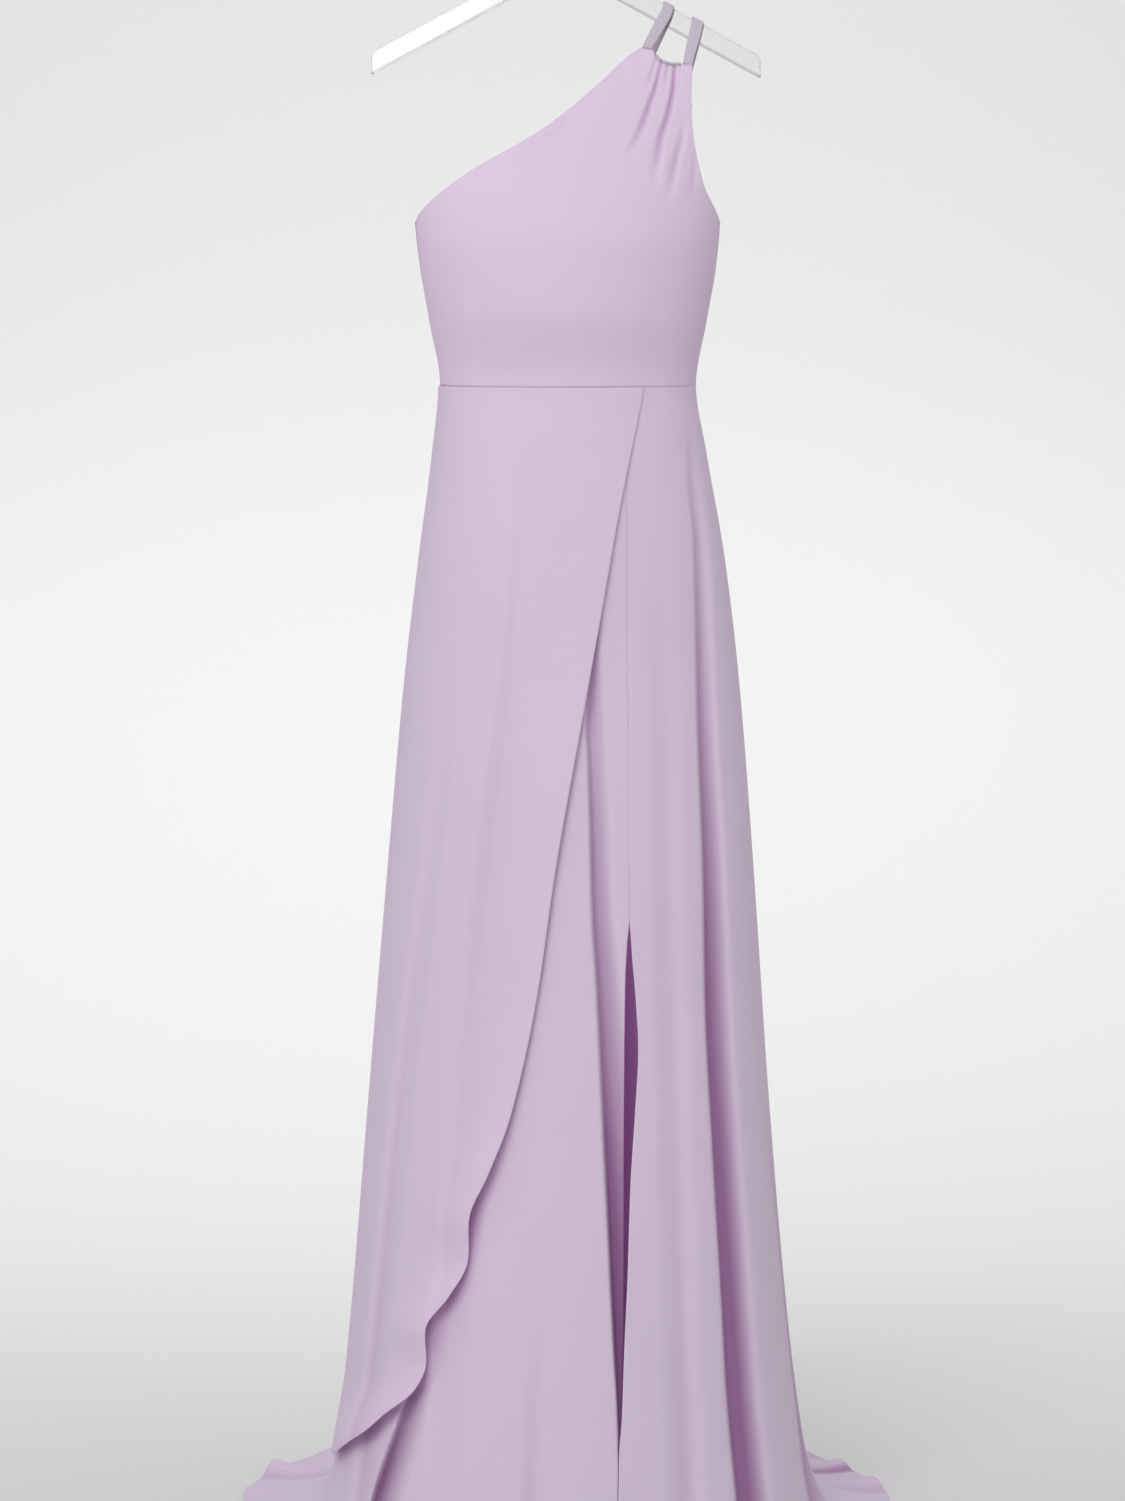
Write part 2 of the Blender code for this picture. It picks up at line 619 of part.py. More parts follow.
def hook_points():
    """The hook's centre line: a stem, a soft shoulder and most of a circle."""
    radius = HOOK_INNER + HOOK_WIRE
    centre = -HOOK_INNER
    stem_foot = -(arm_edge(0.0) - BOSS_HEIGHT - 2 * HALF_SEAM)
    points = [Vector((0, 0, stem_foot)), Vector((0, 0, 0.5 * (stem_foot - HOOK_STEM_TOP)))]
    start = Vector((0, 0, -HOOK_STEM_TOP))
    turns = steps_between(HOOK_START_ANGLE, HOOK_END_ANGLE, HOOK_STEPS) + [HOOK_END_ANGLE]
    circle = [Vector((math.cos(math.radians(turn)), 0, math.sin(math.radians(turn)))) * radius
              + Vector((0, 0, centre)) for turn in turns]
    join = circle[0]
    shoulder = join + Vector((HOOK_SHOULDER[0], 0, HOOK_SHOULDER[1]))
    for t in steps_between(0.0, 1.0, SHOULDER_STEPS):
        points.append(start * (1 - t) ** 2 + shoulder * (2 * t * (1 - t)) + join * t ** 2)
    return points + circle


def build():
    for obj in list(bpy.data.objects):
        bpy.data.objects.remove(obj)
    dress = bpy.data.collections.new("one_shoulder_dress")
    bpy.context.scene.collection.children.link(dress)

    cloth = material("chiffon", CLOTH_COLOUR, 0.85)
    strap_cloth = material("strap_cloth", STRAP_COLOUR, 0.8)
    clear = material("clear_plastic", HANGER_COLOUR, 0.1)
    wire = material("hook_wire", HOOK_COLOUR, 0.2, 1.0)

    front_shift = (0.0, -HALF_SIDE_SEAM)
    back_shift = (0.0, HALF_SIDE_SEAM)
    front = bodice_rows(bodice_outline(NECKLINE, TOP_EDGE, ARMHOLE), BODICE_GATHERS, False)
    back = bodice_rows(bodice_outline(BACK_NECKLINE, BACK_TOP_EDGE, BACK_ARMHOLE), (), True)
    panel("bodice_front", front, WALL, cloth, dress, front_shift)
    panel("bodice_back", back, WALL, cloth, dress, back_shift)
    tube("neck_binding_front", binding_points(front[0]), BINDING_RADIUS, cloth, dress)
    tube("neck_binding_back", binding_points(back[0]), BINDING_RADIUS, cloth, dress)
    panel("strap_inner", strap_rows(STRAP_INNER), STRAP_THICKNESS, strap_cloth, dress)
    panel("strap_outer", strap_rows(STRAP_OUTER), STRAP_THICKNESS, strap_cloth, dress)

    def slit_left(drop):
        return front_angle(lookup(LEFT_LIP, drop, 1) - HALF_SLIT_SEAM, drop)

    def slit_right(drop):
        return front_angle(lookup(RIGHT_LIP, drop, 1) + HALF_SLIT_SEAM, drop)

    left = skirt_rows(lambda drop: -90.0, slit_left, UNDER_LEFT_COLUMNS, UNDER_LEFT_FOLDS)
    panel("skirt_front_left", tuck_under(left), WALL, cloth, dress, front_shift)
    right = skirt_rows(slit_right, lambda drop: 90.0, RIGHT_COLUMNS, FRONT_RIGHT_FOLDS)
    panel("skirt_front_right", right, WALL, cloth, dress, front_shift)
    panel("skirt_overlay", wrap_rows(), WALL, cloth, dress, front_shift)

    back_folds = tuple(back_fold(*plan) for plan in BACK_FOLD_PLAN)
    half = skirt_rows(lambda drop: 90.0, lambda drop: 180.0, BACK_COLUMNS, back_folds)
    panel("skirt_back_right", half, WALL, cloth, dress, (HALF_SIDE_SEAM, HALF_SIDE_SEAM))
    half = skirt_rows(lambda drop: 180.0, lambda drop: 270.0, BACK_COLUMNS, back_folds)
    panel("skirt_back_left", half, WALL, cloth, dress, (-HALF_SIDE_SEAM, HALF_SIDE_SEAM))

    hanger_arms(clear, dress)
    tube("hanger_hook", hook_points(), HOOK_WIRE, wire, dress)


build()
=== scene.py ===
import math

import bpy
import numpy as np
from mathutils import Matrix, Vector


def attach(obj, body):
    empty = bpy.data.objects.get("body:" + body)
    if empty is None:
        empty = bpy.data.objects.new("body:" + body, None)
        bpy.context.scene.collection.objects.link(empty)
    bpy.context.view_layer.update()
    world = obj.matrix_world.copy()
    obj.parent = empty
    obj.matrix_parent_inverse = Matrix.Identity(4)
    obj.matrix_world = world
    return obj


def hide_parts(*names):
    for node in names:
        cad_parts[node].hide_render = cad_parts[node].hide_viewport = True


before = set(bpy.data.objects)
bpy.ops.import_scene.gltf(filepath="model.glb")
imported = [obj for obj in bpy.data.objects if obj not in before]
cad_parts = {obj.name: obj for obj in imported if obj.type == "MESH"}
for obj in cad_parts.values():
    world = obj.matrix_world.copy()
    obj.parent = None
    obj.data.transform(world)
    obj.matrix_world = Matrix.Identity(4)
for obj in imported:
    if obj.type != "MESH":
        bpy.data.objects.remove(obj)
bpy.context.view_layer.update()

# The dress is drafted in millimetres, like the frame. A drop is a distance below the hook, an x
# runs to the right of the dress's middle line, and an angle goes round it from the front middle.
MM = 0.001
CLOTH = 0.9
DRESS_X = 4.0
SEAM_DIP = 0.22
SEAM_REACH = 3.0
CLOSE_COLUMNS = (1.0, 2.6)
HEM_ROLL = 0.47
HEM_DEPTH = 4.5
ROLL_STEP = 2.5
STITCH_PITCH = 3.2
STITCH_LENGTH = 2.1
STITCH_THICKNESS = 0.14
STITCH_PROUD = 0.05
WAIST_STITCH_INSET = 1.6
UNDERARM = 358.0
WAIST = 521.0
WAIST_DIP = 11.0
SWEEP_START = 1560.0
FLOOR = 1656.0
SLIT_TOP = 1035.0
HEM_HEIGHT = 1.6

# columns: drop, left, right, front, back
LEFT, RIGHT, FRONT, BACK = 1, 2, 3, 4
FORM = (
    (176, 153, 153, 14, 12),
    (206, 153, 153, 26, 23),
    (256, 153, 153, 47, 42),
    (306, 153, 153, 70, 60),
    (358, 152, 153, 92, 74),
    (396, 148, 150, 102, 80),
    (456, 138, 140, 100, 82),
    (521, 127, 129, 85, 78),
    (586, 133, 139, 97, 98),
    (696, 147, 158, 112, 120),
    (816, 161, 172, 123, 134),
    (996, 177, 186, 138, 152),
    (1236, 197, 202, 160, 182),
    (1476, 217, 223, 184, 220),
    (1656, 238, 248, 200, 246),
)

# The depth in a fold at which the cloth takes its full painted shade
SHADE_DEPTH = 24.0
BODICE_SHADE_DEPTH = 7.0
SHADE_FALL = 1.2

# How folds are pushed in: less near the sides, and the bodice's gathers deeper than drafted
FOLD_FADE = 60.0
GATHER_DEPTH = 1.5

# Columns of a panel stand closer together on and beside deep folds
SPREAD_STEPS = 600
FOLD_NEAR = 4.0
FOLD_SPAN = 1.3
FOLD_DENSITY = 2.6
DEEP_FOLD = 12.0
ARC_STEP = 0.05

# The slight unevenness of hung cloth, as long slow waves
# columns: share, millimetres across, millimetres down, start
SLOW_WAVES = ((1.0, 17.0, 140.0, 0.6), (0.7, 31.0, -95.0, 2.1), (0.5, 9.5, 61.0, 4.0))
# size, drop where it starts, length over which it grows
UNEVEN_BODICE = (0.22, 250.0, 120.0)
UNEVEN_SKIRT = (0.45, 560.0, 300.0)
UNEVEN_WRAP = (0.4, 560.0, 300.0)
UNEVEN_END = 60.0

# The bodice's top outline: neckline and gathered edge, columns x, drop, and armhole, columns drop, x
NECKLINE = ((-152.0, 358), (-143.8, 350), (-122.3, 334), (-94.5, 316), (-59.0, 296), (-26.6, 276),
            (0.9, 254), (23.7, 233), (45.6, 211), (60.6, 196), (72.7, 187))
TOP_EDGE = ((72.7, 187.0), (84.5, 187.6), (88.5, 197.0), (96.5, 203.0), (105.4, 204.8), (114.0, 204.4),
            (116.5, 203.2), (124.5, 203.0))
ARMHOLE = ((203, 124.5), (225, 123.9), (251, 123.4), (282, 125.7), (312, 131.5), (332, 137.5),
           (341, 142.7), (358, 153.0))
BACK_NECKLINE = ((-152.0, 358), (-140.0, 352), (-110.0, 338), (-78.0, 320), (-40.0, 298), (-8.0, 275),
                 (20.0, 250), (46.0, 226), (64.0, 206), (76.0, 191))
BACK_TOP_EDGE = ((76.0, 191.0), (84.5, 191.6), (88.5, 201.0), (96.5, 207.0), (105.4, 208.8),
                 (114.0, 208.4), (116.5, 207.2), (123.5, 207.0))
BACK_ARMHOLE = ((207, 123.5), (255, 119.0), (300, 122.0), (330, 131.0), (345, 141.0), (358, 153.0))

# Where, round the waist, the bodice's columns from the neckline's and the top edge's ends arrive
WAIST_MARKS = (6.0, 38.0)

# Folds and creases: a trough at x, so deep, and so wide to its left and right
# columns: drop, x, depth, left, right
TROUGH, DEPTH, TO_LEFT, TO_RIGHT = 1, 2, 3, 4
BODICE_FOLDS = (
    ((196, 89.0, 2.6, 2.4, 2.4), (217, 82.4, 2.6, 2.8, 2.6), (232, 78.0, 0.0, 3, 3)),
    ((200, 94.0, 3.6, 2.6, 3), (225, 88.3, 4.4, 3.4, 4), (248, 81.1, 4.0, 4.5, 5), (275, 71.9, 2.8, 6, 8),
     (306, 60.0, 0.0, 9, 10)),
    ((200, 100.5, 2.8, 2.4, 2.4), (218, 98.3, 2.2, 2.6, 2.6), (236, 96.5, 0.0, 3, 3)),
    ((200, 107.6, 4.4, 2.8, 3), (229, 105.2, 5.0, 3.8, 4), (260, 98.9, 4.4, 5, 5.5), (281, 92.7, 3.4, 6, 7),
     (306, 89.4, 2.0, 8, 8), (336, 84.0, 0.0, 9, 9)),
    ((200, 113.4, 1.6, 2, 2), (216, 113.0, 1.2, 2.4, 2.4), (230, 112.6, 0.0, 3, 3)),
    ((262, 117.0, 0.0, 5, 5), (280, 113.7, 2.0, 6, 6), (305, 107.4, 2.4, 7, 7), (350, 100.0, 0.0, 9, 9)),
    ((290, 127.0, 0.0, 4, 4), (315, 126.0, 1.4, 5, 5), (340, 123.0, 0.0, 6, 6)),
    ((236, 24.0, 0.0, 5, 5), (262, 4.0, 1.0, 8, 7), (300, -38.0, 1.3, 11, 9), (345, -76.0, 0.0, 14, 12)),
    ((262, 4.0, 0.0, 5, 5), (286, -16.0, 0.9, 7, 6), (318, -44.2, 1.0, 9, 8), (360, -70.0, 0.0, 12, 12)),
    ((290, -46.0, 0.0, 5, 5), (322, -70.0, 0.8, 8, 7), (352, -96.0, 0.0, 10, 10)),
    ((400, -96.0, 0.0, 10, 10), (455, -88.0, 0.9, 14, 14), (520, -82.0, 0.5, 10, 10)),
    ((410, 92.0, 0.0, 12, 12), (462, 86.0, 0.5, 18, 18), (520, 82.0, 0.2, 16, 16)),
)
BODICE_BACK_FOLDS = (
    ((204, 90.0, 2.2, 3, 3), (224, 86.0, 1.8, 4, 4), (250, 78.0, 0.0, 6, 6)),
    ((206, 99.0, 2.8, 3, 3), (232, 96.0, 2.4, 5, 5), (280, 86.0, 0.0, 8, 8)),
    ((206, 108.5, 2.4, 3, 3), (236, 107.0, 1.8, 5, 5), (270, 103.0, 0.0, 7, 7)),
    ((270, 30.0, 0.0, 8, 8), (320, 2.0, 1.2, 12, 12), (370, -40.0, 0.0, 14, 14)),
    ((400, -90.0, 0.0, 10, 10), (462, -80.0, 1.0, 16, 16), (520, -76.0, 0.6, 12, 12)),
    ((400, 96.0, 0.0, 10, 10), (462, 84.0, 1.0, 16, 16), (520, 78.0, 0.6, 12, 12)),
)
SLIT_FOLD = ((740, 24, 0, 5, 12), (800, 22, 6, 6, 14), (850, 22, 10, 6, 16), (904, 24, 12, 6, 18),
             (961, 25, 14, 5, 20), (1043, 27, 16, 5, 22), (1109, 31, 18, 5, 26), (1181, 34.5, 21, 5, 34),
             (1269, 38.5, 25, 5, 50), (1329, 41.5, 27, 5, 60), (1373, 43.5, 28, 5, 60),
             (1459, 47, 26, 4, 60), (1516, 49.5, 20, 3, 60), (1560, 50.5, 9, 3, 60), (1656, 50, 6, 4, 60))
DEEP_RIGHT_FOLD = ((540, 123, 0, 6, 14), (615, 123, 5, 6, 16), (679, 127, 9, 5, 18), (857, 130, 16, 5, 20),
                   (1013, 135, 22, 5, 24), (1128, 136.5, 27, 5, 28), (1273, 143.5, 31, 5, 30),
                   (1404, 151, 34, 5, 32), (1507, 157, 36, 6, 34), (1606, 166, 36, 6, 36),
                   (1656, 172, 36, 6, 38))
RIGHT_EDGE_FOLD = ((1150, 186, 0, 5, 16), (1310, 204, 8, 5, 22), (1440, 218, 14, 5, 24),
                   (1576, 233, 18, 5, 26), (1656, 240, 18, 5, 26))
RIGHT_MIDDLE_FOLD = ((700, 92, 0, 18, 18), (1000, 98, 4, 20, 20), (1400, 108, 6, 22, 22),
                     (1656, 116, 8, 24, 24))
LEFT_SOFT_FOLD = ((560, -28, 0, 12, 12), (681, -41, 3, 14, 16), (838, -57, 5, 15, 20),
                  (1038, -82, 6, 18, 24), (1300, -105, 5, 18, 26), (1656, -128, 4, 18, 26))
LEFT_SIDE_FOLD = ((800, -110, 0, 12, 12), (1032, -137, 4, 14, 14), (1227, -161, 6, 14, 16),
                  (1400, -178, 7, 14, 16), (1656, -205, 8, 14, 16))
LEFT_HEM_FOLDS = (
    ((1480, -140, 0, 8, 14), (1531, -156, 18, 9, 20), (1614, -183, 24, 10, 26), (1656, -192, 24, 10, 26)),
    ((1390, -20, 0, 14, 14), (1500, -28, 4, 14, 16), (1656, -36, 7, 14, 18)),
)
SHARED_LEFT_FOLDS = (LEFT_SOFT_FOLD, LEFT_SIDE_FOLD)
UNDER_LEFT_FOLDS = SHARED_LEFT_FOLDS + LEFT_HEM_FOLDS + (SLIT_FOLD,)
FRONT_RIGHT_FOLDS = (RIGHT_MIDDLE_FOLD, DEEP_RIGHT_FOLD, RIGHT_EDGE_FOLD)

# columns: x at the waist, x at the floor, start drop, depth at the floor, half width at the floor
BACK_FOLD_PLAN = (
    (-100, -192, 640, 24, 24),
    (-66, -130, 580, 28, 26),
    (-32, -66, 700, 20, 24),
    (36, 72, 620, 26, 24),
    (70, 136, 560, 30, 26),
    (102, 198, 660, 22, 24),
)

# columns: drop, x
LEFT_LIP = ((521, 57.0), (838, 58.8), (1035, 60.4), (1069, 57.2), (1117, 55.0), (1197, 54.0), (1408, 53.4),
            (1459, 52.4), (1516, 51.0), (1547, 49.4), (1596, 48.4), (1656, 47.6))
RIGHT_LIP = ((521, 57.0), (838, 58.8), (1035, 60.4), (1071, 62.3), (1124, 66.5), (1168, 68.7), (1224, 65.8),
             (1299, 60.9), (1390, 57.8), (1450, 54.9), (1526, 51.9), (1547, 50.0), (1596, 48.9),
             (1656, 48.0))

# columns: drop, x, lift
WRAP_EDGE = (
    (532, 74.2, 0.0),
    (574, 65.2, 1.0),
    (648, 50.3, 3.0),
    (743, 33.6, 5.0),
    (837, 17.2, 6.0),
    (1004, -11.7, 6.0),
    (1124, -28.9, 5.0),
    (1235, -52.7, 7.0),
    (1290, -71.7, 12.0),
    (1330, -88.0, 14.0),
    (1374, -92.7, 6.0),
    (1408, -108.1, 12.0),
    (1438, -127.5, 14.0),
    (1475, -131.2, 7.0),
    (1497, -140.0, 9.0),
    (1525, -167.7, 12.0),
    (1549, -189.1, 12.0),
    (1570, -212.7, 8.0),
    (1580, -221.0, 5.0),
)
WRAP_STITCH_TOP = 537.0
WRAP_OUT = 1.8
WRAP_LIFT_WIDTH = 55.0
WRAP_TIP_OUT = 4.0
WRAP_TIP_START = 60.0
WRAP_TIP_RUN = 90.0
WRAP_SIDE_ANGLE = 25.0
WRAP_LEVEL_FROM = 6
WRAP_SEAM_START = 0.6
# How much painted shadow the wrap panel's lifted free edge casts on the cloth under it, and how wide
WRAP_SHADOW = 0.045
WRAP_SHADOW_WIDTH = 16.0
# The covered part of the panel under it is set back, clear of it
TUCK = 4.0
TUCK_START = 540.0
TUCK_FULL = 640.0
TUCK_END = 1500.0
TUCK_FADE = 60.0
TUCK_EDGE = 25.0
TUCK_RAMP = 30.0
TUCK_SIDE_Y = 40.0
TUCK_SIDE_X = 100.0

# columns: angle from the front, reach past the form on the left and on the right
SWEEP = ((0, 0, 0), (55, 0, 0), (75, 16, 16), (90, 48, 46), (105, 104, 94), (116, 128, 115), (124, 146, 130),
         (135, 168, 156), (145, 184, 180), (165, 196, 196), (180, 205, 205))
FLAT_REACH = 100.0
# columns: angle, height, half width in degrees, shadow at the foot
TRAIN_WAVES = (
    (-110, 5, 6, 0.2),
    (-126, 12, 5, 0.4),
    (-142, 5, 6, 0.2),
    (-163, 13, 9, 0.5),
    (178, 9, 10, 0.4),
    (158, 12, 8, 0.5),
    (144, 4, 6, 0.3),
    (132, 7, 4, 1.0),
    (118, 6, 7, 0.4),
)

# columns: x, y, drop, across in x, across in drop
STRAP_INNER = (
    (79.4, -16.6, 186.5, 9.4, 1.2),
    (86.0, -12.6, 174.2, 10.0, 3.6),
    (93.0, -8.4, 161.2, 10.1, 5.2),
    (99.6, -5.1, 148.6, 10.1, 5.5),
    (101.3, -4.9, 142.9, 10.1, 5.5),
    (101.8, -3.7, 139.7, 10.1, 5.5),
    (102.0, 0.0, 138.7, 10.1, 5.5),
    (102.2, 3.7, 139.9, 10.1, 5.5),
    (102.3, 4.9, 143.2, 10.1, 5.5),
    (100.9, 5.1, 149.4, 10.1, 5.5),
    (94.5, 8.0, 163.0, 10.1, 5.0),
    (88.0, 11.4, 177.0, 10.0, 3.4),
    (82.4, 14.8, 190.4, 9.6, 1.0),
)
STRAP_OUTER = (
    (119.7, -15.0, 202.4, 9.2, 1.0),
    (122.4, -12.3, 191.5, 10.0, 3.0),
    (125.8, -8.6, 178.0, 10.6, 5.0),
    (129.2, -5.1, 164.4, 11.0, 6.0),
    (130.3, -4.9, 158.7, 11.0, 6.0),
    (130.8, -3.7, 155.5, 11.0, 6.0),
    (131.0, 0.0, 154.5, 11.0, 6.0),
    (131.2, 3.7, 155.6, 11.0, 6.0),
    (131.3, 4.9, 158.9, 11.0, 6.0),
    (130.0, 5.1, 165.2, 11.0, 6.0),
    (126.8, 8.0, 179.0, 10.6, 5.0),
    (123.6, 11.2, 193.0, 10.0, 3.0),
    (120.6, 14.0, 206.2, 9.4, 1.0),
)
STRAP_THICKNESS = 1.9
STRAP_ACROSS = 13
STRAP_ROWS = 8
STRAP_CROWN = 0.8
STRAP_TURN = 3.0

BINDING_RADIUS = 1.6
BINDING_SEAT = 0.3
BINDING_FROM = 86.5
BINDING_TO = 114.5

# The hanger's arms
ARM_WEB = 2.0
ARM_RIM = 1.5
ARM_RIM_STEP = 2.0
ARM_HEIGHT = 20.5
ARM_APEX = 84.5
ARM_SLOPE = 0.545
ARM_LEFT = -191.0
ARM_RIGHT = 197.0
ARM_BEND = 26.0
ARM_CORNER = 5.0
BOSS_WIDTH = 14.0
BOSS_HEIGHT = 6.0

# Colours of the cloth on its face, inside and out, and the painted shade colours that it turns to down in
# its folds
CLOTH_LIGHT = (0.78, 0.67, 0.81, 1)
CLOTH_PAINTED_SHADE = (0.48, 0.27, 0.49, 1)
# The inside's colours are painted lighter and pinker than the face's, for light bounced inside the skirt
INSIDE_PAINTED_BOUNCE = (0.93, 0.62, 0.92, 1)
INSIDE_PAINTED_SHADE = (0.90, 0.56, 0.89, 1)
STRAP_LIGHT = (0.49, 0.44, 0.51, 1)
STRAP_PAINTED_SHADE = (0.38, 0.29, 0.40, 1)
HEM_LIGHT = (0.72, 0.61, 0.75, 1)

SHEEN_TINT = (0.93, 0.86, 0.95, 1)
PAINTED_SHADE_START = 0.15
WIRE_COLOUR = (0.75, 0.76, 0.78, 1)
CLEAR_WEB = (0.94, 0.94, 0.94, 1)
# The lower rim's plastic is tinted darker than the web: painted shade for the grey look of the clear rim
# seen edge-on
CLEAR_RIM_PAINTED_SHADE = (0.80, 0.805, 0.81, 1)

# How fine the chiffon's weave and its slubs are, across and along the cloth
WEAVE_SCALE = (1400, 1400, 1)
SLUB_SCALE = (420, 60, 1)

# Camera, from the photograph's viewpoint: level with the thighs, three and a half metres away
CAMERA_PLACE = (-0.0005, -3.5, -0.886)
CAMERA_LENS = 83.94
CAMERA_SENSOR = 36.0

# The studio: a paper sweep, in metres, and how much darker the paper's colour is painted towards the front
# and higher up, a painted shade for the light's fall-off
STUDIO_WIDTH = 9.0
STUDIO_FRONT = -6.0
STUDIO_BEND = 1.6
STUDIO_WALL = 3.2
STUDIO_TOP = 3.5
STUDIO_BEND_STEPS = 16
PAPER_PAINTED_FALLOFF_BACK = {"start": -0.4, "end": 3.0, "low": 0.63, "high": 0.82}
PAPER_PAINTED_FALLOFF_UP = {"start": -0.9, "end": 0.6, "low": 1.0, "high": 0.86}
AIR_LIGHT = 0.72


def read(table, places, column):
    """Read a column of a table at many places of its first column, on a smooth curve."""
    rows = np.array(table, float)
    knots, values = rows[:, 0], rows[:, column]
    places = np.clip(np.asarray(places, float), knots[0], knots[-1])
    rise = np.diff(values) / np.diff(knots)
    slopes = np.empty_like(values)
    slopes[0], slopes[-1] = rise[0], rise[-1]
    product, total = rise[:-1] * rise[1:], rise[:-1] + rise[1:]
    slopes[1:-1] = np.where(product > 0, 2 * product / np.where(total == 0, 1, total), 0)
    index = np.clip(np.searchsorted(knots, places, side="right") - 1, 0, len(knots) - 2)
    span = knots[index + 1] - knots[index]
    t = (places - knots[index]) / span
    return ((2 * t ** 3 - 3 * t ** 2 + 1) * values[index] + (t ** 3 - 2 * t ** 2 + t) * span * slopes[index]
            + (3 * t ** 2 - 2 * t ** 3) * values[index + 1] + (t ** 3 - t ** 2) * span * slopes[index + 1])


def ease(t):
    t = np.clip(t, 0.0, 1.0)
    return t * t * (3 - 2 * t)


def bump(t):
    return np.where(np.abs(t) < 1, 0.5 + 0.5 * np.cos(math.pi * np.clip(t, -1, 1)), 0.0)


def form(angle, drop, out=0.0):
    """Points of the plain form, or moved out of it."""
    turn = np.radians(angle)
    side = np.where(np.sin(turn) < 0, read(FORM, drop, LEFT), read(FORM, drop, RIGHT))
    deep = np.where(np.cos(turn) > 0, read(FORM, drop, FRONT), read(FORM, drop, BACK))
    normal = np.stack((np.sin(turn) / side, -np.cos(turn) / deep), axis=-1)
    normal /= np.linalg.norm(normal, axis=-1, keepdims=True)
    x = side * np.sin(turn) + out * normal[..., 0]
    y = -deep * np.cos(turn) + out * normal[..., 1]
    return np.stack((x, y, -np.broadcast_to(drop, x.shape)), axis=-1)


def front_angle(x, drop):
    side = np.where(np.asarray(x) < 0, read(FORM, drop, LEFT), read(FORM, drop, RIGHT))
    return np.degrees(np.arcsin(np.clip(x / side, -1.0, 1.0)))


def fold_parts(folds, x, drop):
    """For each fold: how far a place is from its trough, its width on that side, and its depth."""
    for fold in folds:
        offset = x - read(fold, drop, TROUGH)
        width = np.where(offset < 0, read(fold, drop, TO_LEFT), read(fold, drop, TO_RIGHT))
        inside = (drop >= fold[0][0]) & (drop <= fold[-1][0])
        yield offset, width, np.where(inside, read(fold, drop, DEPTH), 0.0)


def fold_depth(folds, x, drop):
    depth = np.zeros(np.broadcast(x, drop).shape)
    for offset, width, deep in fold_parts(folds, x, drop):
        depth += deep * bump(offset / width)
    return depth


def fold_shade(folds, x, drop, full):
    """How much painted shade a place gets from the folds: most beside a fold's crisp left edge, less to its
    right.
    """
    shade = np.zeros(np.broadcast(x, drop).shape)
    for offset, width, deep in fold_parts(folds, x, drop):
        away = np.clip(1 - np.abs(offset) / width, 0, 1)
        shade += deep * np.where(offset < 0, bump(offset / width), away ** SHADE_FALL)
    return np.clip(shade / full, 0, 1)


def push_in(points, depth):
    """Push points of the front or back straight into the dress, less at the sides."""
    fade = np.minimum(1.0, np.abs(points[..., 1]) / FOLD_FADE)
    points[..., 1] += np.where(points[..., 1] > 0, -1.0, 1.0) * depth * fade
    return points


def spread(left, right, count, folds, drop):
    """Angles from left to right, closer together on the folds and beside both edges."""
    edges = left + (right - left) * np.arange(SPREAD_STEPS + 1) / SPREAD_STEPS
    angles = left + (right - left) * (np.arange(SPREAD_STEPS) + 0.5) / SPREAD_STEPS
    x = form(angles, drop)[..., 0]
    weight = np.ones(SPREAD_STEPS)
    for fold in folds:
        offset = x - read(fold, drop, TROUGH)
        width = np.where(offset < 0, read(fold, drop, TO_LEFT), read(fold, drop, TO_RIGHT))
        nearness = bump(offset / (FOLD_NEAR + FOLD_SPAN * width))
        weight += FOLD_DENSITY * nearness * np.minimum(1.0, read(fold, drop, DEPTH) / DEEP_FOLD)
    total = np.concatenate(([0.0], np.cumsum(weight)))
    start = [left + close / arc_length(left, drop) for close in (0.0,) + CLOSE_COLUMNS]
    end = [right - close / arc_length(right, drop) for close in CLOSE_COLUMNS[::-1] + (0.0,)]
    wanted = np.linspace(*np.interp((start[-1], end[0]), edges, total), count + 1)[1:-1]
    return np.concatenate((start, np.interp(wanted, total, edges), end))


def arc_length(angle, drop):
    """Millimetres round the form for each degree, at an angle."""
    near = form(np.array((angle - ARC_STEP, angle + ARC_STEP)), drop)
    return float(np.linalg.norm(near[1] - near[0])) / (2 * ARC_STEP)


def waist_drop(angle):
    return WAIST + WAIST_DIP * np.maximum(0.0, np.cos(np.radians(angle)))


def rows_from_seam(length, count):
    """Shares of a length, the first few close to the seam that it starts from."""
    close = np.array((0.0,) + CLOSE_COLUMNS) / length
    return np.concatenate((close, np.linspace(2 * close[-1], 1, count)))


def seam_dip(distance):
    """How far cloth is drawn in beside a seam."""
    return SEAM_DIP * (1 - ease(np.asarray(distance) / SEAM_REACH))


def side_dips(points, left, right):
    """The dips beside the seams that a row's ends are sewn in."""
    steps = np.linalg.norm(np.diff(points, axis=-2), axis=-1)
    run = np.concatenate((np.zeros_like(steps[..., :1]), np.cumsum(steps, axis=-1)), axis=-1)
    return np.maximum(seam_dip(run) * left, seam_dip(run[..., -1:] - run) * right)


def unevenness(points, drop, plan):
    """The slight unevenness of hung cloth, which grows from a drop on."""
    size, start, run = plan
    x, z = points[..., 0], points[..., 2]
    wave = sum(share * np.sin(x / across + z / down + turn) for share, across, down, turn in SLOW_WAVES)
    return size * wave * ease((drop - start) / run)


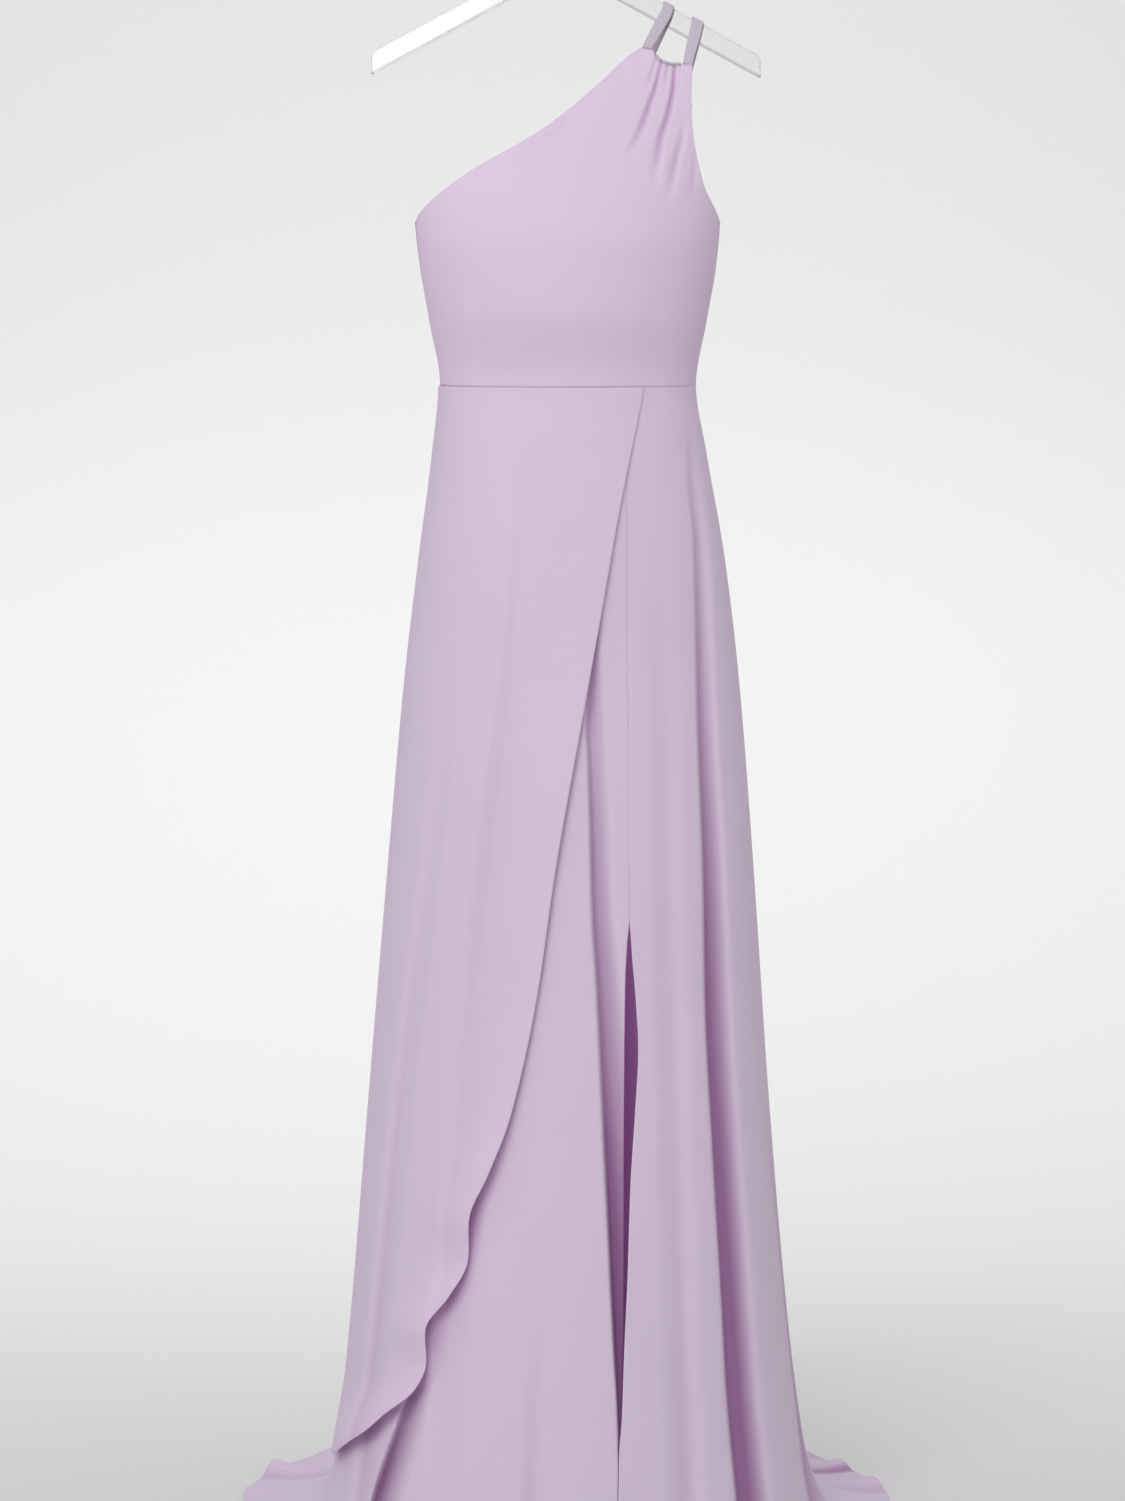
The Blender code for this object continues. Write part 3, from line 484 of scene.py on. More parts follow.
def bodice_grid(neckline, top_edge, armhole, folds, back, counts, rows):
    """The grid of a bodice panel, its columns fanning from the top outline to the waist seam."""
    neck_x = np.linspace(neckline[0][0], neckline[-1][0], counts[0], endpoint=False)
    edge_x = np.linspace(top_edge[0][0], top_edge[-1][0], counts[1], endpoint=False)
    arm_drop = np.linspace(armhole[0][0], armhole[-1][0], counts[2] + 1)
    top_x = np.concatenate((neck_x, edge_x, read(armhole, arm_drop, 1)))
    top_drop = np.concatenate((read(neckline, neck_x, 1), read(top_edge, edge_x, 1), arm_drop))
    marks = np.cumsum((0,) + counts)
    waist_angle = np.interp(np.arange(len(top_x)), marks, (-90.0,) + WAIST_MARKS + (90.0,))
    top_angle = front_angle(top_x, top_drop)
    if back:
        top_drop, top_angle, waist_angle = top_drop[::-1], 180 - top_angle[::-1], 180 - waist_angle[::-1]
    t = 1 - rows_from_seam(WAIST - UNDERARM, rows)[::-1, None]
    angle = top_angle + (waist_angle - top_angle) * t
    drop = top_drop + (waist_drop(waist_angle) - top_drop) * t
    plain = form(angle, drop)
    below_arm = ease((drop - UNDERARM) / 8.0)
    dip = np.maximum(seam_dip(waist_drop(waist_angle) - drop), side_dips(plain, True, True) * below_arm)
    points = form(angle, drop, -dip)
    depth = fold_depth(folds, points[..., 0], drop)
    shade = fold_shade(folds, points[..., 0], drop, BODICE_SHADE_DEPTH)
    soft = unevenness(points, drop, UNEVEN_BODICE)
    return push_in(points, GATHER_DEPTH * depth + soft), shade


def sweep_reach(around):
    return np.where(around < 0, read(SWEEP, -around, 1), read(SWEEP, around, 2))


def train_waves(around):
    """The height of the train's waves, and the shadow at each wave's foot towards the front."""
    height, shadow = np.zeros_like(around), np.zeros_like(around)
    for place, rise, half, dark in TRAIN_WAVES:
        apart = (around - place + 180.0) % 360.0 - 180.0
        height += rise * bump(apart / half)
        shadow += dark * bump((apart * np.sign(place) + 0.8 * half) / (0.7 * half))
    return height, shadow


def swept(angle, sweep, folds):
    """A row of the lowest part of the skirt, where it turns out along the floor, and its shading."""
    start = form(angle, np.full_like(angle, SWEEP_START))
    foot = form(angle, np.full_like(angle, FLOOR))
    foot[..., 2] = -FLOOR + HEM_HEIGHT
    around = (angle + 180.0) % 360.0 - 180.0
    reach = sweep_reach(around)
    height, shadow = train_waves(around)
    away = foot * np.array((1.0, 1.0, 0.0))
    away /= np.linalg.norm(away, axis=-1, keepdims=True)
    hanging = start + (foot - start) * (1 - (1 - sweep) ** 2)
    points = hanging + away * (reach * sweep ** 2)[..., None]
    flat = ease(reach / FLAT_REACH)
    points[..., 2] += height * flat * sweep ** 3
    upright = 1 - flat * ease(sweep)
    depth = fold_depth(folds, hanging[..., 0], -hanging[..., 2]) * upright
    shade = fold_shade(folds, hanging[..., 0], -hanging[..., 2], SHADE_DEPTH) * upright
    return push_in(points, depth), shade + shadow * flat * sweep


def skirt_grid(left_edge, right_edge, columns, rows, sweep_rows, folds, sewn_to):
    """The grid of a full-length panel from the waist seam to the hem, and its fold shading.

    Its left and right edges are sewn down to the drops in sewn_to.
    """
    grid, shade = [], []
    for t in rows_from_seam(SWEEP_START - WAIST, rows):
        middle = WAIST + (SWEEP_START - WAIST) * t
        angle = spread(left_edge(middle), right_edge(middle), columns, folds, middle)
        top = waist_drop(angle)
        drop = top + (SWEEP_START - top) * t
        dip = side_dips(form(angle, drop), middle < sewn_to[0], middle < sewn_to[1])
        points = form(angle, drop, -np.maximum(dip, seam_dip(drop - top)))
        x = points[..., 0]
        depth = fold_depth(folds, x, drop)
        soft = unevenness(points, drop, UNEVEN_SKIRT)
        grid.append(push_in(points, depth + soft * ease((SWEEP_START - drop) / UNEVEN_END)))
        shade.append(fold_shade(folds, x, drop, SHADE_DEPTH))
    for sweep in np.linspace(0, 1, sweep_rows + 1)[1:]:
        drop = SWEEP_START + (FLOOR - SWEEP_START) * (1 - (1 - sweep) ** 2)
        angle = spread(left_edge(drop), right_edge(drop), columns, folds, drop)
        points, shadow = swept(angle, sweep, folds)
        grid.append(points)
        shade.append(shadow)
    return np.array(grid), np.array(shade)


def tuck_under(grid):
    """Set the covered part of the under panel back, so that the wrap panel lies clear of it."""
    drop = -grid[..., 2]
    covered = ease((read(WRAP_EDGE, drop, 1) - TUCK_EDGE - grid[..., 0]) / TUCK_RAMP)
    covered = covered * (1 - ease((drop - TUCK_END) / TUCK_FADE))
    amount = TUCK * covered * ease((drop - TUCK_START) / (TUCK_FULL - TUCK_START))
    grid[..., 1] += amount * np.minimum(1.0, np.abs(grid[..., 1]) / TUCK_SIDE_Y)
    grid[..., 0] += amount * ease((-grid[..., 0] - TUCK_SIDE_X) / TUCK_FADE)
    return grid


def wrap_shadow(grid):
    """A painted shadow: the cloth that the wrap panel's lifted free edge stands over is coloured deeper."""
    drop = -grid[..., 2]
    beside = grid[..., 0] - read(WRAP_EDGE, drop, 1)
    lift = read(WRAP_EDGE, drop, 2)
    return WRAP_SHADOW * lift * bump(beside / WRAP_SHADOW_WIDTH) * (drop < WRAP_EDGE[-1][0])


def wrap_grid(columns, rows):
    """The grid of the wrap panel, made from the points of the panel under it, moved out."""
    grid, shade = [], []
    last = WRAP_EDGE[-1][0]
    for t in rows_from_seam(last - WAIST, rows):
        level = WAIST + (last - WAIST) * t
        near_waist = 1 - ease((level - WAIST) / (last - WAIST) * WRAP_LEVEL_FROM)
        edge_x = read(WRAP_EDGE, level + WAIST_DIP * near_waist, 1)
        angle = spread(-90.0, float(front_angle(edge_x, level)), columns, SHARED_LEFT_FOLDS, level)
        drop = level + (waist_drop(angle) - WAIST) * near_waist
        x = form(angle, drop)[..., 0]
        nearness = ease(1 - (edge_x - x) / WRAP_LIFT_WIDTH)
        away = ease((angle + 90.0) / WRAP_SIDE_ANGLE)
        out = WRAP_OUT + read(WRAP_EDGE, drop, 2) * nearness * away
        out = out + WRAP_TIP_OUT * ease((drop - SWEEP_START + WRAP_TIP_START) / WRAP_TIP_RUN)
        waist_dip = seam_dip(level - WAIST + WRAP_SEAM_START)
        dip = np.maximum(side_dips(form(angle, drop), True, False), waist_dip)
        points = form(angle, drop, out - dip)
        depth = fold_depth(SHARED_LEFT_FOLDS, x, drop)
        soft = unevenness(points, drop, UNEVEN_WRAP)
        grid.append(push_in(points, depth + soft))
        shade.append(fold_shade(SHARED_LEFT_FOLDS, x, drop, SHADE_DEPTH))
    return np.array(grid), np.array(shade)


def back_folds():
    folds = []
    for waist_x, floor_x, start, depth, width in BACK_FOLD_PLAN:
        rows = []
        for drop, share in ((start, 0.0), (0.5 * (start + FLOOR), 0.55), (FLOOR, 1.0)):
            along = (drop - WAIST) / (FLOOR - WAIST)
            x = waist_x + (floor_x - waist_x) * along
            rows.append((drop, x, depth * share, width * (0.5 + 0.5 * along), width * (0.6 + 0.5 * along)))
        folds.append(tuple(rows))
    return tuple(folds)


def to_world(points):
    """From millimetres about the dress's middle line to metres in the frame."""
    return (np.asarray(points) + np.array((DRESS_X, 0.0, 0.0))) * MM


def add_object(name, data):
    obj = bpy.data.objects.new(name, data)
    bpy.context.scene.collection.objects.link(obj)
    return obj


def cloth_panel(name, grid, shade, thickness, finishes):
    """A shell of cloth on a grid, with a UV map in metres along the cloth and the painted shade of its
    folds.
    """
    points = to_world(grid)
    rows, columns = points.shape[:2]
    index = np.arange(rows * columns).reshape(rows, columns)
    corners = np.stack((index[:-1, :-1], index[1:, :-1], index[1:, 1:], index[:-1, 1:]), axis=-1)
    mesh = bpy.data.meshes.new(name)
    mesh.from_pydata(points.reshape(-1, 3).tolist(), [], corners.reshape(-1, 4).tolist())
    across = np.zeros((rows, columns))
    across[:, 1:] = np.cumsum(np.linalg.norm(np.diff(points, axis=1), axis=-1), axis=1)
    across -= across.mean(axis=1, keepdims=True)
    along = np.zeros((rows, columns))
    along[1:] = np.cumsum(np.linalg.norm(np.diff(points, axis=0), axis=-1), axis=0)
    uv = np.stack((across, along), axis=-1).reshape(-1, 2)
    layer = mesh.uv_layers.new(name="cloth")
    loops = np.empty(len(mesh.loops), dtype=np.int32)
    mesh.loops.foreach_get("vertex_index", loops)
    layer.data.foreach_set("uv", uv[loops].ravel())
    # The fold attribute holds how much painted shade each point gets
    depth = mesh.attributes.new("fold", "FLOAT", "POINT")
    depth.data.foreach_set("value", np.clip(shade, 0, 1).ravel())
    mesh.shade_smooth()
    obj = add_object(name, mesh)
    for finish in finishes:
        mesh.materials.append(finish)
    wall = obj.modifiers.new("wall", "SOLIDIFY")
    wall.thickness = thickness * MM
    wall.offset = -1.0
    if len(finishes) > 1:
        wall.material_offset = 1
    return obj


def new_material(name):
    finish = bpy.data.materials.new(name)
    finish.use_nodes = True
    nodes = finish.node_tree.nodes
    return finish, nodes, finish.node_tree.links, nodes["Principled BSDF"]


def stretched(nodes, links, place, scale):
    """A place with its pattern drawn finer or longer along each axis."""
    mapping = nodes.new("ShaderNodeMapping")
    mapping.inputs["Scale"].default_value = scale
    links.new(place, mapping.inputs["Vector"])
    return mapping.outputs["Vector"]


def noise(nodes, links, place, scale, detail=2.0):
    """The strength of a fine uneven pattern at a place."""
    pattern = nodes.new("ShaderNodeTexNoise")
    pattern.inputs["Scale"].default_value = scale
    pattern.inputs["Detail"].default_value = detail
    links.new(place, pattern.inputs["Vector"])
    return pattern.outputs["Fac"]


def between(nodes, links, value, low, high, start=0.0, end=1.0, kind="LINEAR"):
    """A value turned into one from low to high, as it goes from start to end."""
    turn = nodes.new("ShaderNodeMapRange")
    turn.interpolation_type = kind
    for socket, number in (("From Min", start), ("From Max", end), ("To Min", low), ("To Max", high)):
        turn.inputs[socket].default_value = number
    links.new(value, turn.inputs["Value"])
    return turn.outputs["Result"]


def sum_or_product(nodes, links, operation, first, second):
    result = nodes.new("ShaderNodeMath")
    result.operation = operation
    links.new(first, result.inputs[0])
    links.new(second, result.inputs[1])
    return result.outputs["Value"]


def blend(nodes, links, share, first, second):
    """One colour turning into another."""
    mix = nodes.new("ShaderNodeMix")
    mix.data_type = "RGBA"
    mix.inputs["A"].default_value = first
    mix.inputs["B"].default_value = second
    links.new(share, mix.inputs["Factor"])
    return mix.outputs["Result"]


def chiffon(name, light, deep, sheen, through=0.0):
    """Chiffon: a fine crepe weave, slow uneven dye, and painted shade down in its folds, where its colour
    turns deeper.

    A share of the light goes through it.
    """
    finish, nodes, links, shader = new_material(name)
    shader.inputs["Roughness"].default_value = 0.82
    shader.inputs["Specular IOR Level"].default_value = 0.25
    shader.inputs["Sheen Weight"].default_value = sheen
    shader.inputs["Sheen Roughness"].default_value = 0.45
    shader.inputs["Sheen Tint"].default_value = SHEEN_TINT
    place = nodes.new("ShaderNodeTexCoord")
    threads = noise(nodes, links, stretched(nodes, links, place.outputs["UV"], WEAVE_SCALE), 1.0)
    slubs = noise(nodes, links, stretched(nodes, links, place.outputs["UV"], SLUB_SCALE), 1.0, 3.0)
    relief = nodes.new("ShaderNodeBump")
    relief.inputs["Strength"].default_value = 0.12
    relief.inputs["Distance"].default_value = 0.0004
    links.new(sum_or_product(nodes, links, "ADD", threads, slubs), relief.inputs["Height"])
    links.new(relief.outputs["Normal"], shader.inputs["Normal"])
    # Painted shade: the fold attribute turns the face colour into the darker shade colour
    fold = nodes.new("ShaderNodeAttribute")
    fold.attribute_name = "fold"
    down = between(nodes, links, fold.outputs["Fac"], 0.0, 1.0, PAINTED_SHADE_START)
    colour = blend(nodes, links, down, light, deep)
    dye = noise(nodes, links, place.outputs["Object"], 5.0, 3.0)
    dyed = nodes.new("ShaderNodeVectorMath")
    dyed.operation = "SCALE"
    links.new(colour, dyed.inputs[0])
    links.new(between(nodes, links, dye, 0.97, 1.03), dyed.inputs["Scale"])
    links.new(dyed.outputs["Vector"], shader.inputs["Base Color"])
    if through:
        glow = nodes.new("ShaderNodeBsdfTranslucent")
        links.new(dyed.outputs["Vector"], glow.inputs["Color"])
        links.new(relief.outputs["Normal"], glow.inputs["Normal"])
        cloth = nodes.new("ShaderNodeMixShader")
        cloth.inputs["Fac"].default_value = through
        links.new(shader.outputs["BSDF"], cloth.inputs[1])
        links.new(glow.outputs["BSDF"], cloth.inputs[2])
        links.new(cloth.outputs["Shader"], nodes["Material Output"].inputs["Surface"])
    return finish


def clear_plastic(name, tint):
    """Clear moulded plastic with faint flow marks."""
    finish, nodes, links, shader = new_material(name)
    shader.inputs["Base Color"].default_value = tint
    shader.inputs["Transmission Weight"].default_value = 1.0
    shader.inputs["IOR"].default_value = 1.46
    flow = noise(nodes, links, nodes.new("ShaderNodeTexCoord").outputs["Object"], 40.0)
    links.new(between(nodes, links, flow, 0.04, 0.14), shader.inputs["Roughness"])
    return finish


def polished_wire():
    finish, nodes, links, shader = new_material("polished_hook_wire")
    shader.inputs["Base Color"].default_value = WIRE_COLOUR
    shader.inputs["Metallic"].default_value = 1.0
    drawn = noise(nodes, links, nodes.new("ShaderNodeTexCoord").outputs["Object"], 300.0)
    links.new(between(nodes, links, drawn, 0.12, 0.24), shader.inputs["Roughness"])
    return finish


def sewn(piece, node):
    """Hang a piece of cloth on the root, and hide the model's part that it stands for."""
    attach(piece, "root")
    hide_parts(node)


def outward(grid):
    """The directions that point straight out of a grid of cloth."""
    normal = np.cross(np.gradient(grid, axis=0), np.gradient(grid, axis=1))
    return normal / np.maximum(np.linalg.norm(normal, axis=-1, keepdims=True), 1e-9)


def edge_line(grid, side, start=0.0):
    """The middle of the cloth's thickness along an edge of a grid, below a drop."""
    middle = grid - outward(grid) * 0.5 * CLOTH
    line = {"left": middle[:, 0], "right": middle[:, -1], "top": middle[0], "bottom": middle[-1]}[side]
    return line[-line[:, 2] > start]


def stitch_line(grid, side, inset, start=0.0):
    """A line on the cloth's face, an inset away from an edge of its grid, below a drop."""
    face = grid + outward(grid) * STITCH_PROUD
    rows = {"left": face, "right": face[:, ::-1], "bottom": face[::-1].swapaxes(0, 1)}[side]
    run = np.cumsum(np.linalg.norm(np.diff(rows, axis=1, prepend=rows[:, :1]), axis=-1), axis=1)
    line = np.array([[np.interp(inset, run[i], row[:, k]) for k in range(3)] for i, row in enumerate(rows)])
    return line[-line[:, 2] > start]


def node_tree(name, sizes):
    """An empty geometry node tree with named sizes, a finish, and its input and output nodes."""
    tree = bpy.data.node_groups.new(name, "GeometryNodeTree")
    plan = [("Lines", "INPUT", "Geometry")] + [(size, "INPUT", "Float") for size in sizes]
    plan += [("Finish", "INPUT", "Material"), ("Piece", "OUTPUT", "Geometry")]
    sockets = {}
    for label, way, kind in plan:
        socket = tree.interface.new_socket(label, in_out=way, socket_type="NodeSocket" + kind)
        sockets[label] = socket.identifier
    given, result = tree.nodes.new("NodeGroupInput"), tree.nodes.new("NodeGroupOutput")
    return tree, sockets, given, result


def finish_tree(tree, given, result, geometry):
    """End a tree: instances made real, shaded smooth, in the given finish."""
    real = tree.nodes.new("GeometryNodeRealizeInstances")
    smooth = tree.nodes.new("GeometryNodeSetShadeSmooth")
    coat = tree.nodes.new("GeometryNodeSetMaterial")
    tree.links.new(geometry, real.inputs["Geometry"])
    tree.links.new(real.outputs["Geometry"], smooth.inputs["Geometry"])
    tree.links.new(smooth.outputs["Geometry"], coat.inputs["Geometry"])
    tree.links.new(given.outputs["Finish"], coat.inputs["Material"])
    tree.links.new(coat.outputs["Geometry"], result.inputs["Piece"])


def roll_tree():
    """A round roll along lines, as the narrow rolled hem of an edge."""
    tree, sockets, given, result = node_tree("rolled_edge", ("Radius", "Step"))
    curve = tree.nodes.new("GeometryNodeMeshToCurve")
    even = tree.nodes.new("GeometryNodeResampleCurve")
    even.mode = "LENGTH"
    ring = tree.nodes.new("GeometryNodeCurvePrimitiveCircle")
    ring.inputs["Resolution"].default_value = 8
    roll = tree.nodes.new("GeometryNodeCurveToMesh")
    roll.inputs["Fill Caps"].default_value = True
    tree.links.new(given.outputs["Lines"], curve.inputs["Mesh"])
    tree.links.new(curve.outputs["Curve"], even.inputs["Curve"])
    tree.links.new(given.outputs["Step"], even.inputs["Length"])
    tree.links.new(given.outputs["Radius"], ring.inputs["Radius"])
    tree.links.new(even.outputs["Curve"], roll.inputs["Curve"])
    tree.links.new(ring.outputs["Curve"], roll.inputs["Profile Curve"])
    finish_tree(tree, given, result, roll.outputs["Mesh"])
    return tree, sockets


def stitch_tree():
    """A row of thread stitches along lines."""
    tree, sockets, given, result = node_tree("stitch_row", ("Pitch", "Length", "Thickness"))
    curve = tree.nodes.new("GeometryNodeMeshToCurve")
    places = tree.nodes.new("GeometryNodeCurveToPoints")
    places.mode = "LENGTH"
    stitch = tree.nodes.new("GeometryNodeMeshIcoSphere")
    stitch.inputs["Radius"].default_value = 0.5
    stitch.inputs["Subdivisions"].default_value = 1
    size = tree.nodes.new("ShaderNodeCombineXYZ")
    sew = tree.nodes.new("GeometryNodeInstanceOnPoints")
    tree.links.new(given.outputs["Lines"], curve.inputs["Mesh"])
    tree.links.new(curve.outputs["Curve"], places.inputs["Curve"])
    tree.links.new(given.outputs["Pitch"], places.inputs["Length"])
    tree.links.new(given.outputs["Thickness"], size.inputs["X"])
    tree.links.new(given.outputs["Thickness"], size.inputs["Y"])
    tree.links.new(given.outputs["Length"], size.inputs["Z"])
    tree.links.new(places.outputs["Points"], sew.inputs["Points"])
    tree.links.new(places.outputs["Rotation"], sew.inputs["Rotation"])
    tree.links.new(stitch.outputs["Mesh"], sew.inputs["Instance"])
    tree.links.new(size.outputs["Vector"], sew.inputs["Scale"])
    finish_tree(tree, given, result, sew.outputs["Instances"])
    return tree, sockets


def grow(name, lines, tree_and_sockets, sizes, finish):
    """Grow a piece along lines of points with a node tree, and keep it as a plain mesh."""
    tree, sockets = tree_and_sockets
    path = bpy.data.meshes.new(name + "_path")
    places, edges = [], []
    for line in lines:
        first = len(places)
        places += to_world(line).tolist()
        edges += [(i, i + 1) for i in range(first, len(places) - 1)]
    path.from_pydata(places, edges, [])
    obj = add_object(name, path)
    modifier = obj.modifiers.new("grow", "NODES")
    modifier.node_group = tree
    for size, value in sizes.items():
        modifier[sockets[size]] = value * MM
    modifier[sockets["Finish"]] = finish
    grown = bpy.data.meshes.new_from_object(obj.evaluated_get(bpy.context.evaluated_depsgraph_get()))
    obj.modifiers.remove(modifier)
    obj.data = grown
    grown.name = name
    bpy.data.meshes.remove(path)
    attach(obj, "root")
    return obj


def thread(name, colour):
    """Spun sewing thread, slightly uneven in colour."""
    finish, nodes, links, shader = new_material(name)
    shader.inputs["Roughness"].default_value = 0.6
    shader.inputs["Sheen Weight"].default_value = 0.3
    spun = noise(nodes, links, nodes.new("ShaderNodeTexCoord").outputs["Object"], 900.0)
    darker = tuple(0.8 * value for value in colour[:3]) + (1,)
    links.new(blend(nodes, links, spun, colour, darker), shader.inputs["Base Color"])
    return finish


def add_camera():
    data = bpy.data.cameras.new("camera")
    data.lens = CAMERA_LENS
    data.sensor_width = CAMERA_SENSOR
    camera = add_object("camera", data)
    camera.location = CAMERA_PLACE
    camera.rotation_euler = (math.radians(90), 0, 0)
    bpy.context.scene.camera = camera


def area_light(name, place, aim, size, power):
    data = bpy.data.lights.new(name, "AREA")
    data.shape = "RECTANGLE"
    data.size, data.size_y = size
    data.energy = power
    lamp = add_object(name, data)
    lamp.location = place
    lamp.rotation_euler = (Vector(aim) - Vector(place)).to_track_quat("-Z", "Y").to_euler()


def add_studio():
    """A pale floor that curves up into a pale wall, with painted shade towards the front and higher up, and
    soft light from the front left.
    """
    floor_z, bend_y = -FLOOR * MM, STUDIO_WALL - STUDIO_BEND
    profile = [(STUDIO_FRONT, floor_z), (bend_y, floor_z)]
    for step in range(1, STUDIO_BEND_STEPS + 1):
        turn = math.radians(90 * step / STUDIO_BEND_STEPS)
        profile.append((bend_y + STUDIO_BEND * math.sin(turn), floor_z + STUDIO_BEND * (1 - math.cos(turn))))
    profile.append((STUDIO_WALL, STUDIO_TOP))
    verts = [(x, y, z) for y, z in profile for x in (-STUDIO_WIDTH, STUDIO_WIDTH)]
    faces = [(2 * i, 2 * i + 1, 2 * i + 3, 2 * i + 2) for i in range(len(profile) - 1)]
    mesh = bpy.data.meshes.new("studio_sweep")
    mesh.from_pydata(verts, [], faces)
    mesh.shade_smooth()
    sweep = add_object("studio_sweep", mesh)
    finish, nodes, links, shader = new_material("studio_paper")
    shader.inputs["Roughness"].default_value = 0.9
    # The paper's colour is painted darker near the front and higher up: painted shade for the light's
    # fall-off
    parts = nodes.new("ShaderNodeSeparateXYZ")
    links.new(nodes.new("ShaderNodeTexCoord").outputs["Object"], parts.inputs["Vector"])
    back = between(nodes, links, parts.outputs["Y"], kind="SMOOTHSTEP", **PAPER_PAINTED_FALLOFF_BACK)
    up = between(nodes, links, parts.outputs["Z"], kind="SMOOTHSTEP", **PAPER_PAINTED_FALLOFF_UP)
    painted_falloff = sum_or_product(nodes, links, "MULTIPLY", back, up)
    paper = nodes.new("ShaderNodeCombineColor")
    for channel in ("Red", "Green", "Blue"):
        links.new(painted_falloff, paper.inputs[channel])
    links.new(paper.outputs["Color"], shader.inputs["Base Color"])
    mesh.materials.append(finish)

    world = bpy.data.worlds.new("studio_air")
    world.use_nodes = True
    world.node_tree.nodes["Background"].inputs["Color"].default_value = (1, 1, 1, 1)
    world.node_tree.nodes["Background"].inputs["Strength"].default_value = AIR_LIGHT
    bpy.context.scene.world = world
    bpy.context.scene.view_settings.view_transform = "Standard"
    area_light("key", (-1.1, -3.7, 1.2), (0, 0, -0.7), (2.2, 2.2), 77)
    area_light("wall_wash", (0, 1.0, 0.8), (0, 3.2, -0.9), (4.0, 0.8), 24)


